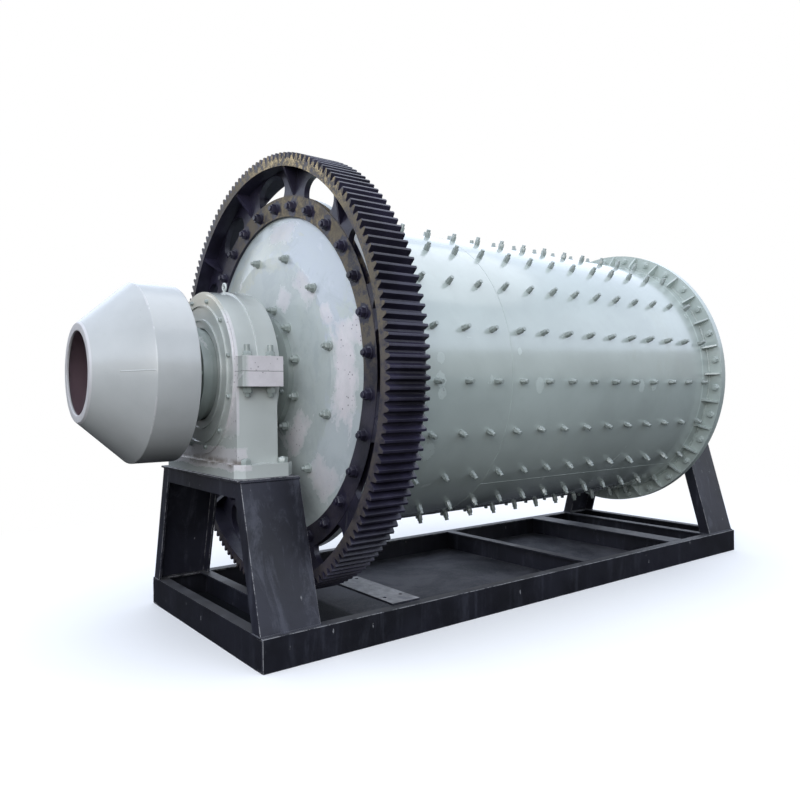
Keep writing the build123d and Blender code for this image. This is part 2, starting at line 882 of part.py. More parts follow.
with BuildSketch() as window:
    with Locations((window_neck, 0)):
        Ellipse(window_rise, window_half_width)
    with Locations((window_neck - window_half_width, 0)):
        Rectangle(2 * window_half_width, 3 * window_half_width, mode=Mode.SUBTRACT)
    with Locations((window_neck, 0)):
        Rectangle(2 * window_corner, 2 * window_half_width)
    fillet(window.vertices().group_by(Axis.X)[0], radius=window_corner * 0.98)
    with Locations((window_neck + window_half_width, 0)):
        Rectangle(2 * window_half_width, 3 * window_half_width, mode=Mode.SUBTRACT)
    with Locations((window_neck, 0)):
        Ellipse(window_rise, window_half_width)

rib_top = gear_bore - rib_seat
web_end = web_start + spoke_thickness
rib_shape = [
    (web_start, gear_flange_radius - spoke_rib_foot),
    (web_end, gear_flange_radius - spoke_rib_foot),
    (web_end, gear_flange_radius + spoke_rib_foot / 2),
    (gear_back - spoke_rib_edge, rib_top),
    (-gear_front + spoke_rib_edge, rib_top),
    (web_start, gear_flange_radius + spoke_rib_foot / 2),
]

with BuildPart() as spoke_rib:
    with BuildSketch(drum_profile):
        with BuildLine():
            Polyline(*rib_shape, close=True)
        make_face()
    extrude(amount=spoke_rib_thickness / 2, both=True)

with BuildPart() as gear_spider:
    with BuildSketch(drum_plane(gear_ring_face)):
        Circle(gear_flange_radius)
        Circle(ring_bore, mode=Mode.SUBTRACT)
    extrude(amount=gear_flange_thickness)
    with BuildSketch(drum_plane(web_start)):
        Circle(gear_bore)
        Circle(gear_flange_radius - spoke_rib_foot, mode=Mode.SUBTRACT)
    extrude(amount=spoke_thickness)
    with BuildSketch(drum_plane(web_start)):
        with PolarLocations(0, spoke_count, start_angle=spoke_phase + 180 / spoke_count):
            add(window.sketch)
    extrude(amount=spoke_thickness, mode=Mode.SUBTRACT)
    for index in range(spoke_count):
        turn = spoke_phase - 90 + index * 360 / spoke_count
        add(spoke_rib.part.rotate(drum_axis, turn))
gear_spider.part.label = "gear_spider"
export_step(gear_spider.part, "parts/gear_spider.step")
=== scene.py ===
"""Looks for a horizontal grinding mill: an enamelled drum on two trunnion bearings.

The drum carries liner bolts, a girth gear and a conical feeder. It lies on a frame of channels.
All lengths are metres. X runs along the drum, Y across it and Z up.
"""

import json
import math
from functools import reduce

import bmesh
import bpy
import numpy as np
from mathutils import Matrix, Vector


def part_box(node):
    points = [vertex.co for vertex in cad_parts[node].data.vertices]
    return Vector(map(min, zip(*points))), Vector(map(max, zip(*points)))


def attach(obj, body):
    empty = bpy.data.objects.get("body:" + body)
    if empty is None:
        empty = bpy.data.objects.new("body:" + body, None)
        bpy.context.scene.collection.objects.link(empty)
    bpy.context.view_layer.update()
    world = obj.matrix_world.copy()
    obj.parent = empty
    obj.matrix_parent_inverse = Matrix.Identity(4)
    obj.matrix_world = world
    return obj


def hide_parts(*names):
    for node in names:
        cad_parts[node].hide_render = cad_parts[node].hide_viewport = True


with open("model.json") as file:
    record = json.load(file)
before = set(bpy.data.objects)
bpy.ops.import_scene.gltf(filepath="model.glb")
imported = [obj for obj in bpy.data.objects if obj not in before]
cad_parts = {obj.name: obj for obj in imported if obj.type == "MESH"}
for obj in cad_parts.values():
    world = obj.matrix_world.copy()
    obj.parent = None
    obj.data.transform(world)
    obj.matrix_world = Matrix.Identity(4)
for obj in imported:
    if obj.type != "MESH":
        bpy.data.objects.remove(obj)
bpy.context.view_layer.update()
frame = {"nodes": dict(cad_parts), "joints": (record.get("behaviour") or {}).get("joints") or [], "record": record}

bl_info = {
    "name": "Grinding mill",
    "version": (1, 0, 0),
    "blender": (4, 5, 0),
    "location": "View3D > Sidebar > Mill",
    "description": "Dresses the mill's solids with fasteners, welds and painted steel",
    "category": "Object",
}


def middle_x(node):
    low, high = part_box(node)
    return (low.x + high.x) / 2


def round_radius(node):
    """Radius of a round node that lies along X: half of its height."""
    low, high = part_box(node)
    return (high.z - low.z) / 2


NODES = frame["nodes"]
SLOTS = {part["node"]: part["material_slot"] for part in frame["record"]["subparts"]}
AXIS_Z = frame["joints"][0]["pos_m"][2]
LOW, HIGH = 0, 1
ENDS = (("front", -1), ("rear", 1))

SHELL_RADIUS = round_radius("shell")
FRONT_FLANGE, REAR_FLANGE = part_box("front_shell_flange"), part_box("rear_shell_flange")
GUSSET_WELD, GUSSET_TURN, FLANGE_BOLTS = 0.072, 95.5, 30
BOLT_TURNS = np.arange(FLANGE_BOLTS) * 360 / FLANGE_BOLTS
GEAR_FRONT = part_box("gear_rim")[LOW].x
GEAR_RING_FACE = GEAR_FRONT + 0.085
RING_BOLT_RADIUS, RING_BOLT_TURN = 0.942, 43.4
GIRTH_SEAM_X = GEAR_FRONT + 1.0855

BAND, MOUTH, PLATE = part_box("feed_band"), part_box("feed_mouth_ring"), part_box("mounting_plate")
BAND_RADIUS, MOUTH_RADIUS = round_radius("feed_band"), round_radius("feed_mouth_ring")
MOUTH_BORE, TRUNNION_BORE = 0.205, 0.190
CONE_SLOPE = (BAND_RADIUS - MOUTH_RADIUS) / (BAND[LOW].x - MOUTH[LOW].x)

BEARINGS = [(end, middle_x(f"{end}_bearing_race"), way) for end, way in ENDS]
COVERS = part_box("front_bearing_covers")
OUTER_COVER, OUTER_COVER_RIB, INNER_COVER = 0.012, 0.008, 0.016
HOUSING_HALF = (COVERS[HIGH].x - COVERS[LOW].x - OUTER_COVER - OUTER_COVER_RIB - INNER_COVER) / 2
EAR_HEIGHT, SPLIT_GAP = 0.074, 0.002
PLINTH_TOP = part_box("front_stand_top")[HIGH].z + 0.067


# Surfaces: a shape is its points and its faces, grouped by their number of corners


def grid_faces(rows, columns):
    """Quads between neighbouring rows of a grid whose columns close into a ring."""
    row, column = np.meshgrid(np.arange(rows - 1), np.arange(columns), indexing="ij")
    following = (column + 1) % columns
    corners = [
        row * columns + column,
        row * columns + following,
        (row + 1) * columns + following,
        (row + 1) * columns + column,
    ]
    return np.stack(corners, -1).reshape(-1, 4)


def closed_tube(rows, sides):
    """The quads of a tube of rings, and one many-sided face at each end."""
    ring = np.arange(sides)[None]
    return [grid_faces(rows, sides), ring[:, ::-1], (rows - 1) * sides + ring]


def rings(height, radius, sides):
    """One ring of points (r cos a, r sin a, h) for each height and radius."""
    turn = np.arange(sides) * 2 * np.pi / sides
    level = np.repeat(height[:, None], sides, 1)
    return np.stack([np.outer(radius, np.cos(turn)), np.outer(radius, np.sin(turn)), level], -1)


def turned(profile, sides):
    """Carries (height, radius) points round Z, with both ends closed."""
    height, radius = np.array(profile, float).T
    return rings(height, radius, sides).reshape(-1, 3), closed_tube(len(height), sides)


def ring_section(profile, sides):
    """A closed section of (x, radius) points carried round the drum's axis."""
    along, radius = np.array(profile, float).T
    points = rings(along, radius, sides)[..., [2, 0, 1]] + (0, 0, AXIS_Z)
    faces = grid_faces(len(along) + 1, sides)[:, ::-1] % (len(along) * sides)
    return points.reshape(-1, 3), [faces]


def rounded_corner(before, corner, after, radius):
    """Points on the arc that touches both sides of a corner, at radius / tan(half angle) from it."""
    before, corner, after = (np.array(point, float) for point in (before, corner, after))
    first = (before - corner) / np.linalg.norm(before - corner)
    last = (after - corner) / np.linalg.norm(after - corner)
    half = math.acos(float(np.clip(first @ last, -1, 1))) / 2
    middle = corner + (first + last) / np.linalg.norm(first + last) * radius / math.sin(half)
    start, end = corner + first * radius / math.tan(half), corner + last * radius / math.tan(half)
    share = np.linspace(0, 1, 6)[:, None]
    spokes = start - middle + share * (end - start)
    return middle + spokes / np.linalg.norm(spokes, axis=1)[:, None] * radius


def joined(*shapes):
    """Several shapes as one, each one's face numbers moved past the points before it."""
    points, faces, offset = [], [], 0
    for shape_points, shape_faces in shapes:
        points.append(shape_points)
        faces.extend(group + offset for group in shape_faces)
        offset += len(shape_points)
    return np.concatenate(points), faces


def repeated(shape, spots, frames, stretch=None):
    """The shape at every spot s with axes F: point p goes to s + F p, its height times stretch."""
    points, faces = shape
    count = len(spots)
    local = np.repeat(points[None], count, 0)
    if stretch is not None:
        local[:, :, 2] *= np.asarray(stretch)[:, None]
    placed = np.einsum("nij,nmj->nmi", frames, local) + spots[:, None]
    steps = np.arange(count)[:, None, None] * len(points)
    groups = [(group[None] + steps).reshape(-1, group.shape[1]) for group in faces]
    return placed.reshape(-1, 3), groups


def on_drum(x, radius, degrees):
    """The point at one x, radius and angle about the drum's axis, and its outward direction.

    Several angles give as many points and directions.
    """
    turn = np.radians(np.asarray(degrees, float))
    outward = np.stack([np.zeros_like(turn), np.cos(turn), np.sin(turn)], -1)
    return np.array([x, 0, AXIS_Z]) + radius * outward, outward


def ring_places(x, radius, degrees, facing):
    """Spots and axes on a ring about the drum's axis, with Z outward, or to the front or rear."""
    spots, outward = on_drum(x, radius, degrees)
    along = np.zeros_like(outward) + (1, 0, 0)
    first, third = {
        "out": (along, outward),
        "rear": (outward, along),
        "front": (outward, -along),
    }[facing]
    return spots, np.stack([first, np.cross(third, first), third], -1)


def upright_places(spots, up=1.0):
    """Axes at given spots with Z up, or down when up is -1."""
    axes = np.array([[1.0, 0, 0], [0, up, 0], [0, 0, up]])
    return np.array(spots, float), np.repeat(axes[None], len(spots), 0)


def unsettled(frames, generator, lean):
    """Turns each frame about its own Z by any angle and leans it by about lean degrees."""
    count = len(frames)
    spin = generator.uniform(0, 2 * np.pi, count)
    tilt = np.radians(generator.normal(0, lean, (count, 2)))
    turning = np.tile(np.eye(3), (count, 1, 1))
    turning[:, 0, 0] = turning[:, 1, 1] = np.cos(spin)
    turning[:, 1, 0] = np.sin(spin)
    turning[:, 0, 1] = -np.sin(spin)
    leaning = np.tile(np.eye(3), (count, 1, 1))
    leaning[:, :2, 2] = tilt
    leaning[:, 2, :2] = -tilt
    return frames @ leaning @ turning


def scattered(shape, places, generator, lean):
    """The shape at every place, each one turned by any angle and leaning by about lean degrees."""
    spots, frames = places
    return repeated(shape, spots, unsettled(frames, generator, lean))


def nut(flats, low, high):
    """A six-sided nut: corner radius flats / (2 cos 30), its top corners cut back by a chamfer."""
    corner = flats / 2 / math.cos(math.pi / 6)
    cut = 0.09 * flats
    return turned([(low, corner), (high - cut, corner), (high, corner * 0.88)], 6)


def fastener(washer, flats, nut_top, stub, stub_top):
    """A washer, a nut and the end of a bolt standing out of it, as three closed turnings.

    The washer is given by its radius and top and reaches 3 mm into what it sits on.
    """
    radius, top = washer
    disc = [(-0.003, radius), (top - 0.001, radius), (top, radius - 0.0015)]
    shank = [(top, stub), (stub_top - 0.002, stub), (stub_top, stub * 0.88)]
    return joined(turned(disc, 14), nut(flats, top, nut_top), turned(shank, 10))


def bead(path, outward, width, height, closed=False, pitch=0.011, sides=8):
    """A weld: an ellipse of this width, reaching height to each side, carried along a path.

    It swells by 1 + 0.16 sin(2 pi s / pitch) and by a longer wave, s being the run along the path.
    Its ends are closed, or joined to each other when closed is True.
    """
    ripple, wave, wave_pitch = 0.16, 0.1, 7.3 * pitch
    tangent = np.gradient(path, axis=0)
    if closed:
        tangent = np.roll(path, -1, 0) - np.roll(path, 1, 0)
    tangent /= np.linalg.norm(tangent, axis=1)[:, None]
    side = np.cross(tangent, outward)
    steps = np.linalg.norm(np.diff(path, axis=0), axis=1)
    run = 2 * np.pi * np.concatenate([[0], np.cumsum(steps)])
    swell = 1 + ripple * np.sin(run / pitch) + wave * np.sin(run / wave_pitch)
    turn = np.arange(sides) * 2 * np.pi / sides
    across = width / 2 * np.cos(turn)[None, :, None] * side[:, None]
    upward = height * np.sin(turn)[None, :, None] * outward[:, None]
    points = path[:, None] + swell[:, None, None] * (across + upward)
    rows = len(path)
    faces = [grid_faces(rows + 1, sides) % (rows * sides)] if closed else closed_tube(rows, sides)
    return points.reshape(-1, 3), faces


def hoop(x, radius):
    """Points about 6 mm apart round the drum's axis at one x, and their outward directions."""
    count = int(2 * np.pi * radius / 0.006)
    return on_drum(x, radius, np.arange(count) * 360 / count)


def straight(start, end, outward, spacing=0.003):
    """Points from start to end, with one outward direction for all of them."""
    start, end = np.array(start, float), np.array(end, float)
    count = max(int(np.linalg.norm(end - start) / spacing), 4)
    share = np.linspace(0, 1, count)[:, None]
    direction = np.array(outward, float)
    direction /= np.linalg.norm(direction)
    return start + share * (end - start), np.repeat(direction[None], count, 0)


def along_shell(start, end, degrees, spacing=0.003):
    """Points along the shell from one x to another, at one angle about the axis."""
    first, outward = on_drum(start, SHELL_RADIUS, degrees)
    last, _ = on_drum(end, SHELL_RADIUS, degrees)
    return straight(first, last, outward, spacing)


def cone_radius(x):
    """Outer radius of the feeder's cone: a straight line from the mouth's edge to the band."""
    return MOUTH_RADIUS + (x - MOUTH[LOW].x) * CONE_SLOPE


# Paint: node trees written as expressions


class Wire:
    """A value on a node's socket. Python's operators on it add Math nodes."""

    def __init__(self, tree, socket):
        self.tree = tree
        self.socket = socket

    def math(self, operation, *values):
        return self.tree.node("ShaderNodeMath", {"operation": operation}, dict(enumerate(values)))

    def __add__(self, other):
        return self.math("ADD", self, other)

    def __sub__(self, other):
        return self.math("SUBTRACT", self, other)

    def __rsub__(self, other):
        return self.math("SUBTRACT", other, self)

    def __mul__(self, other):
        return self.math("MULTIPLY", self, other)

    def __pow__(self, other):
        return self.math("POWER", self, other)

    __radd__ = __add__
    __rmul__ = __mul__

    def most(self, other):
        return self.math("MAXIMUM", self, other)

    def size(self):
        return self.math("ABSOLUTE", self)

    def span(self, low, high):
        """0 at low and 1 at high, with a smooth step between them; low may be the larger one."""
        values = {"Value": self, "From Min": low, "From Max": high}
        return self.tree.node("ShaderNodeMapRange", {"interpolation_type": "SMOOTHSTEP"}, values)


class NodeTree:
    """The node tree of a material or of the world, under construction."""

    def __init__(self, tree, output):
        self.nodes, self.links = tree.nodes, tree.links
        self.nodes.clear()
        self.output = self.nodes.new(output)

    def node(self, kind, settings=None, values=None, out=0):
        """Adds one node: settings are set first, then the values or links of its sockets."""
        node = self.nodes.new(kind)
        for key, value in (settings or {}).items():
            setattr(node, key, value)
        for key, value in (values or {}).items():
            self.feed(node.inputs[key], value)
        return Wire(self, node.outputs[out])

    def feed(self, socket, value):
        if isinstance(value, Wire):
            self.links.new(value.socket, socket)
        elif socket.type == "RGBA":
            socket.default_value = (*value, 1)
        else:
            socket.default_value = value

    def vector(self, operation, first, second=None, out=0):
        values = {0: first} if second is None else {0: first, 1: second}
        return self.node("ShaderNodeVectorMath", {"operation": operation}, values, out)

    def part(self, vector, axis):
        return self.node("ShaderNodeSeparateXYZ", None, {0: vector}, out="XYZ".index(axis))

    def show(self, seen, sent):
        """Ends the tree in what the camera sees, and in what sends light to everything else."""
        camera_ray = self.node("ShaderNodeLightPath", out="Is Camera Ray")
        both = self.node("ShaderNodeMixShader", None, {0: camera_ray, 1: sent, 2: seen})
        self.feed(self.output.inputs[0], both)


class Paint(NodeTree):
    """A material under construction, read from the piece's Object coordinates."""

    def __init__(self, name):
        self.material = bpy.data.materials.new(name)
        self.material.use_nodes = True
        super().__init__(self.material.node_tree, "ShaderNodeOutputMaterial")
        self.shader = self.nodes.new("ShaderNodeBsdfPrincipled")
        self.surface = Wire(self, self.shader.outputs[0])
        self.feed(self.output.inputs[0], self.surface)
        coordinates = self.nodes.new("ShaderNodeTexCoord")
        self.place = Wire(self, coordinates.outputs["Object"])
        self.facing = Wire(self, coordinates.outputs["Normal"])

    def mix(self, share, first, second):
        values = {0: share, 6: first, 7: second}
        return self.node("ShaderNodeMix", {"data_type": "RGBA"}, values, out=2)

    def stretched(self, stretch):
        return self.place if stretch == (1, 1, 1) else self.vector("MULTIPLY", self.place, stretch)

    def noise(self, scale, detail=3.0, rough=0.55, stretch=(1, 1, 1), warp=0.0, place=None):
        place = place or self.stretched(stretch)
        values = {"Vector": place, "Scale": scale, "Detail": detail, "Roughness": rough, "Distortion": warp}
        return self.node("ShaderNodeTexNoise", None, values)

    def cells(self, scale, stretch=(1, 1, 1)):
        return self.node("ShaderNodeTexVoronoi", None, {"Vector": self.stretched(stretch), "Scale": scale})

    def spot(self, centre, size):
        """1 at the centre, 0 on the ellipsoid with these half sizes, and lower outside."""
        moved = self.vector("SUBTRACT", self.place, centre)
        scaled = self.vector("MULTIPLY", moved, tuple(1 / side for side in size))
        return 1 - self.vector("LENGTH", scaled, out=1)

    def along(self):
        return self.part(self.place, "X")

    def over_axis(self):
        """Height over the drum's axis."""
        return self.part(self.place, "Z") - AXIS_Z

    def radius(self):
        """Distance from the drum's axis."""
        offset = self.vector("SUBTRACT", self.place, (0, 0, AXIS_Z))
        flat = self.vector("MULTIPLY", offset, (0, 1, 1))
        return self.vector("LENGTH", flat, out=1)

    def turn(self):
        """Degrees round the drum's axis, from 0 on the near side to 90 at the top and 180 behind."""
        height = self.over_axis()
        return height.math("ARCTAN2", height, 0 - self.part(self.place, "Y")) * (180 / math.pi)

    def worn_edge(self):
        """1 on the rounded edges that soften() marks, 0 elsewhere. The paints make these edges paler: partly wear,
        partly painted highlight.
        """
        return self.node("ShaderNodeAttribute", {"attribute_name": "worn_edge"}, out=2)

    def strokes(self, across, round_about):
        """Noise drawn out round the drum, like strokes of a brush held against the turning drum."""
        values = {0: self.radius() * across, 1: self.turn() * round_about}
        place = self.node("ShaderNodeCombineXYZ", None, values)
        return self.noise(1.0, detail=5.0, rough=0.65, warp=0.3, place=place)

    def finish(
        self, colour, rough, height=None, strength=0.3, depth=0.002, metallic=0.0, specular=0.5, coat=0.0
    ):
        """Feeds the shader: height makes a bump of this strength and depth."""
        values = {
            "Base Color": colour,
            "Roughness": rough,
            "Metallic": metallic,
            "Specular IOR Level": specular,
            "Coat Weight": coat,
            "Coat Roughness": 0.12,
        }
        if height is not None:
            bump = {"Height": height, "Strength": strength, "Distance": depth}
            values["Normal"] = self.node("ShaderNodeBump", None, bump)
        for key, value in values.items():
            self.feed(self.shader.inputs[key], value)
        return self.material


def tinted(colour, factor):
    return tuple(channel * factor for channel in colour)


# Colours that no setting holds, as linear red, green and blue
DULL_OLIVE = (0.33, 0.35, 0.27)
PIT, SPECK = (0.15, 0.13, 0.15), (0.12, 0.11, 0.10)
# The bluish colour here is a painted sheen on the head; the straw colour is a film.
BLUISH_SHEEN, STRAW_FILM = (0.46, 0.50, 0.56), (0.52, 0.52, 0.38)
BLOTCH, BRUSH_LINE = (0.33, 0.37, 0.38), (0.62, 0.66, 0.68)
GREASE, COVER_FILM = (0.13, 0.095, 0.065), (0.62, 0.55, 0.42)
INNER_WALL_DARK, INNER_WALL = (0.28, 0.18, 0.22), (0.40, 0.27, 0.32)
# The golden colours are ochre dust brightened into a painted highlight near the gear's top.
GOLDEN_DUST_HIGHLIGHT, DULL_GOLD_HIGHLIGHT, DUST_FLECK = (0.68, 0.54, 0.31), (0.36, 0.29, 0.17), (0.34, 0.28, 0.14)
# The scuff and bare-steel colours also pale the rounded edges, as wear and as painted highlight.
SCUFF_AND_EDGE_HIGHLIGHT = (0.12, 0.12, 0.13)
RUBBED_NAVY, BARE_STEEL_AND_EDGE_HIGHLIGHT = (0.085, 0.090, 0.115), (0.30, 0.30, 0.31)
SHEET_DARK, SHEET_PALE, GRIT = (0.042, 0.044, 0.053), (0.118, 0.118, 0.132), (0.16, 0.16, 0.165)
# The next two colours are painted shade for the bay in front of the mounting plate.
SHADED_SHEET_DARK, SHADED_SHEET = (0.008, 0.009, 0.012), (0.026, 0.028, 0.034)
RUST_DARK, RUST = (0.045, 0.020, 0.020), (0.13, 0.06, 0.05)
FLOOR_SHADE, FLOOR_PALE = (0.96, 0.945, 0.915), (0.98, 0.965, 0.935)
FEEDER_TINT = (1.07, 0.98, 1.03)

# Primer and a painted bluish sheen on the head: (radius, half width), (degrees, half span), strength
HEAD_PATCHES = [
    ((0.755, 0.085), (-2, 22), 1.0),
    ((0.805, 0.10), (13.5, 6.5), 0.9),
    ((0.677, 0.045), (25.5, 5.5), 0.8),
    ((0.472, 0.082), (-44, 19), 0.85),
    ((0.765, 0.11), (-46, 9), 0.7),
    ((0.61, 0.06), (47, 13), 0.75),
    ((0.455, 0.065), (62, 10), 0.7),
    ((0.80, 0.07), (82, 12), 0.6),
]
HEAD_BLUISH_SHEEN = [((0.77, 0.14), (48, 36), 1.0), ((0.76, 0.13), (-30, 18), 0.5)]
HEAD_STRAW = [((0.70, 0.12), (108, 36), 1.0)]
# Touched-up places on the shell: distance behind the gear's front, degrees, half size
SHELL_SPOTS = [
    (0.561, 175.6, 0.035),
    (0.560, 183.0, 0.05),
    (0.567, 187.4, 0.04),
    (1.308, 185.0, 0.055),
    (2.300, 185.0, 0.05),
    (2.436, 185.0, 0.045),
    (0.545, 208.0, 0.07),
    (1.150, 172.5, 0.03),
    (1.75, 15.0, 0.06),
    (0.70, 330.0, 0.06),
    (2.60, 350.0, 0.05),
]


def swept(across, turn, patches, ragged, soft=0.22):
    """Patches in two measures, such as radius and degrees: each is 1 inside its spans, edges broken.

    Its depth is 1 - max(|across - middle| / half, |turn - bearing| / reach), plus the broken noise.
    """
    masks = []
    for (middle, half), (bearing, reach), strength in patches:
        side = ((across - middle) * (1 / half)).size()
        end = ((turn - bearing) * (1 / reach)).size()
        masks.append((1 - side.most(end) + ragged).span(0.0, soft) * strength)
    return reduce(Wire.most, masks)


def shell_primer(paint, ragged):
    """Touched-up places along the shell's middle row of bolts, and a few elsewhere."""
    blots = []
    for behind, degrees, half in SHELL_SPOTS:
        centre, _ = on_drum(GEAR_FRONT + behind, SHELL_RADIUS, degrees)
        spot = paint.spot(tuple(centre), (half * 0.8, half, half))
        blots.append((spot + ragged).span(0.0, 0.3) * 0.8)
    return reduce(Wire.most, blots)


def shell_strip(paint):
    """The pale stripe of thin paint where the shell meets the gussets."""
    return (paint.along() - (REAR_FLANGE[LOW].x - 0.083)).size().span(0.010, 0.005)


def head_primer(paint, ragged):
    """Patches brushed round the front head, streaked along the strokes."""
    strokes = paint.strokes(26.0, 0.16)
    broken = ragged * 0.5 + (strokes - 0.5) * 1.1
    return swept(paint.radius(), paint.turn(), HEAD_PATCHES, broken, 0.5) * (0.6 + strokes * 0.7)


def head_washes(paint, tone, ragged):
    """A painted bluish sheen, a straw-coloured film, dull blotches and pale brush lines."""
    strokes = paint.strokes(20.0, 0.12)
    broken = ragged + (strokes - 0.5) * 1.6
    across, turn = paint.radius(), paint.turn()
    # Bluish patches on the head: a painted sheen.
    bluish_sheen = swept(across, turn, HEAD_BLUISH_SHEEN, broken) * (0.4 + strokes)
    tone = paint.mix(bluish_sheen * 0.75, tone, BLUISH_SHEEN)
    tone = paint.mix(swept(across, turn, HEAD_STRAW, broken) * 0.4, tone, STRAW_FILM)
    mottled = paint.noise(4.6, detail=7, rough=0.72, warp=0.7) + (strokes - 0.5) * 0.3
    tone = paint.mix(mottled.span(0.47, 0.60) * 0.38, tone, BLOTCH)
    lines = strokes.span(0.60, 0.70) * across.span(0.38, 0.5)
    return paint.mix(lines * 0.25, tone, BRUSH_LINE)


def housing_primer(paint, ragged):
    """Primer on the ears' outer faces and at the housing's foot, and a primer-coloured painted highlight along its
    outer corners.
    """
    along, height = paint.along(), paint.over_axis()
    width = paint.part(paint.place, "Y").size()
    masks = []
    for _, centre, way in BEARINGS:
        ear = swept(along, height, [((centre - way * 0.022, 0.122), (0.0, 0.100), 1.0)], ragged * 0.2)
        # A thin pale line along the outer corner: a painted highlight in primer colour.
        corner = (along - (centre + way * (HOUSING_HALF - 0.002))).size()
        line = corner.span(0.016, 0.006) * (height + ragged * 0.1).size().span(0.34, 0.26)
        rubbed = line * (ragged + 0.9).span(0.2, 0.7) * width.span(0.462, 0.452) * 0.8
        foot = swept(along, height, [((centre + way * 0.13, 0.08), (-0.43, 0.06), 0.75)], ragged * 0.5)
        masks += [ear * width.span(0.470, 0.480), rubbed, foot]
    return reduce(Wire.most, masks)


def housing_grime(paint, tone, ragged):
    """Brown grease where the housing meets its plinth, and a straw film on top of the outer cover."""
    along, height = paint.along(), paint.over_axis()
    for _, centre, way in BEARINGS:
        outward = (along - centre) * way
        joint = (height + 0.448 + ragged * 0.03).size().span(0.030, 0.005)
        greasy = outward.span(0.07, 0.10) * joint * (ragged + 0.5).span(0.3, 0.7)
        tone = paint.mix(greasy * 0.75, tone, GREASE)
        cover = outward.span(0.105, 0.112) * (height + ragged * 0.05).span(0.28, 0.40)
        tone = paint.mix(cover * 0.6, tone, COVER_FILM)
    return tone


def feeder_seams(paint, ragged):
    """Thin paint along the corner between cone and band, and round the lip of the mouth."""
    corner = (paint.along() - BAND[LOW].x).size().span(0.006, 0.002)
    lip = (paint.along() - MOUTH[LOW].x).span(0.012, 0.004)
    return corner * (ragged + 0.30).span(0.2, 0.6) * 0.4 + lip * 0.55


def shell_hollow(paint):
    return paint.radius().span(SHELL_RADIUS - 0.005, SHELL_RADIUS - 0.009)


def trunnion_hollow(paint):
    return paint.radius().span(TRUNNION_BORE + 0.010, TRUNNION_BORE + 0.005)


def feeder_hollow(paint):
    """1 on the inner walls of band, cone and mouth ring: inside the line of their outer radius."""
    along = paint.along()
    line = cone_radius(along)
    wall = line.math("MINIMUM", line, BAND_RADIUS)
    inside = (wall - paint.radius()).span(0.006, 0.010)
    return inside * (along - MOUTH[LOW].x).span(0.0105, 0.0115)


def enamel(
    name, colours, primed=None, washes=None, grime=None, hollow=None, strip=None,
    cast=0.0, shade=1.0, tint=(1, 1, 1), coat=0.0,
):
    """Pale enamel over plate: tone drift, dull runs, specks, edges paled by wear and painted highlight, and chalky
    primer.

    primed gives 1 on primer, washes lays films under it and grime over it. hollow gives 1 on inner
    walls, which are bare and dark, and strip gives 1 on a line of thin paint.
    """
    paint = Paint(name)
    drift = paint.noise(1.6, detail=4)
    patchy = paint.noise(7.0, detail=5, rough=0.65, warp=0.4)
    fine = paint.noise(90.0, detail=4)
    base = tuple(channel * part * shade for channel, part in zip(colours.enamel, tint))
    tone = paint.mix(drift.span(0.36, 0.64), tinted(base, 0.93), tinted(base, 1.06))
    tone = paint.mix(patchy.span(0.5, 0.78) * 0.25, tone, tinted(base, 0.80))
    dull = paint.noise(3.1, detail=6, rough=0.7, stretch=(1.0, 1.0, 0.5))
    tone = paint.mix(dull.span(0.56, 0.76) * 0.24, tone, tinted(DULL_OLIVE, shade))
    ragged = (patchy - 0.5) * 1.7 + (fine - 0.5) * 0.4
    if washes is not None:
        tone = washes(paint, tone, ragged)
    worn = (paint.noise(2.3, detail=5, rough=0.6, warp=0.6) + (fine - 0.5) * 0.08).span(0.66, 0.70)
    chalk = worn * 0.3
    if primed is not None:
        chalk = chalk.most(primed(paint, ragged) * 0.9)
    # Rounded edges turn primer-pale: partly wear, partly a painted highlight.
    chalk = chalk.most(paint.worn_edge() * patchy.span(0.35, 0.6) * 0.75)
    chalky = tinted(base, 1.32) if strip is not None else tuple(colours.primer)
    primer = paint.mix(patchy.span(0.3, 0.7), chalky, tinted(chalky, 0.84))
    tone = paint.mix(chalk, tone, primer)
    if grime is not None:
        tone = grime(paint, tone, ragged)
    pits = paint.cells(46.0).span(0.24, 0.15) * chalk.span(0.5, 0.8) * patchy.span(0.44, 0.54)
    tone = paint.mix(pits * 0.85, tone, PIT)
    if strip is not None:
        tone = paint.mix(strip(paint) * (0.4 + patchy * 0.6), tone, tinted(base, 1.35))
    speck = paint.cells(46.0).span(0.075, 0.05) * patchy.span(0.55, 0.66)
    tone = paint.mix(speck * 0.7, tone, SPECK)
    rough = 0.15 + drift * 0.08 + chalk * 0.4 + patchy * 0.06
    height = fine * 0.25 + paint.noise(9.0, detail=2) * 1.4 + chalk * 0.5 - speck * 0.4
    if cast:
        height = height + paint.noise(170.0, detail=2) * cast
    if hollow is not None:
        inner = hollow(paint)
        tone = paint.mix(inner, tone, paint.mix(patchy, INNER_WALL_DARK, INNER_WALL))
        rough = rough + inner * 0.3
    return paint.finish(tone, rough, height, strength=0.3, depth=0.0025, specular=0.9, coat=coat)


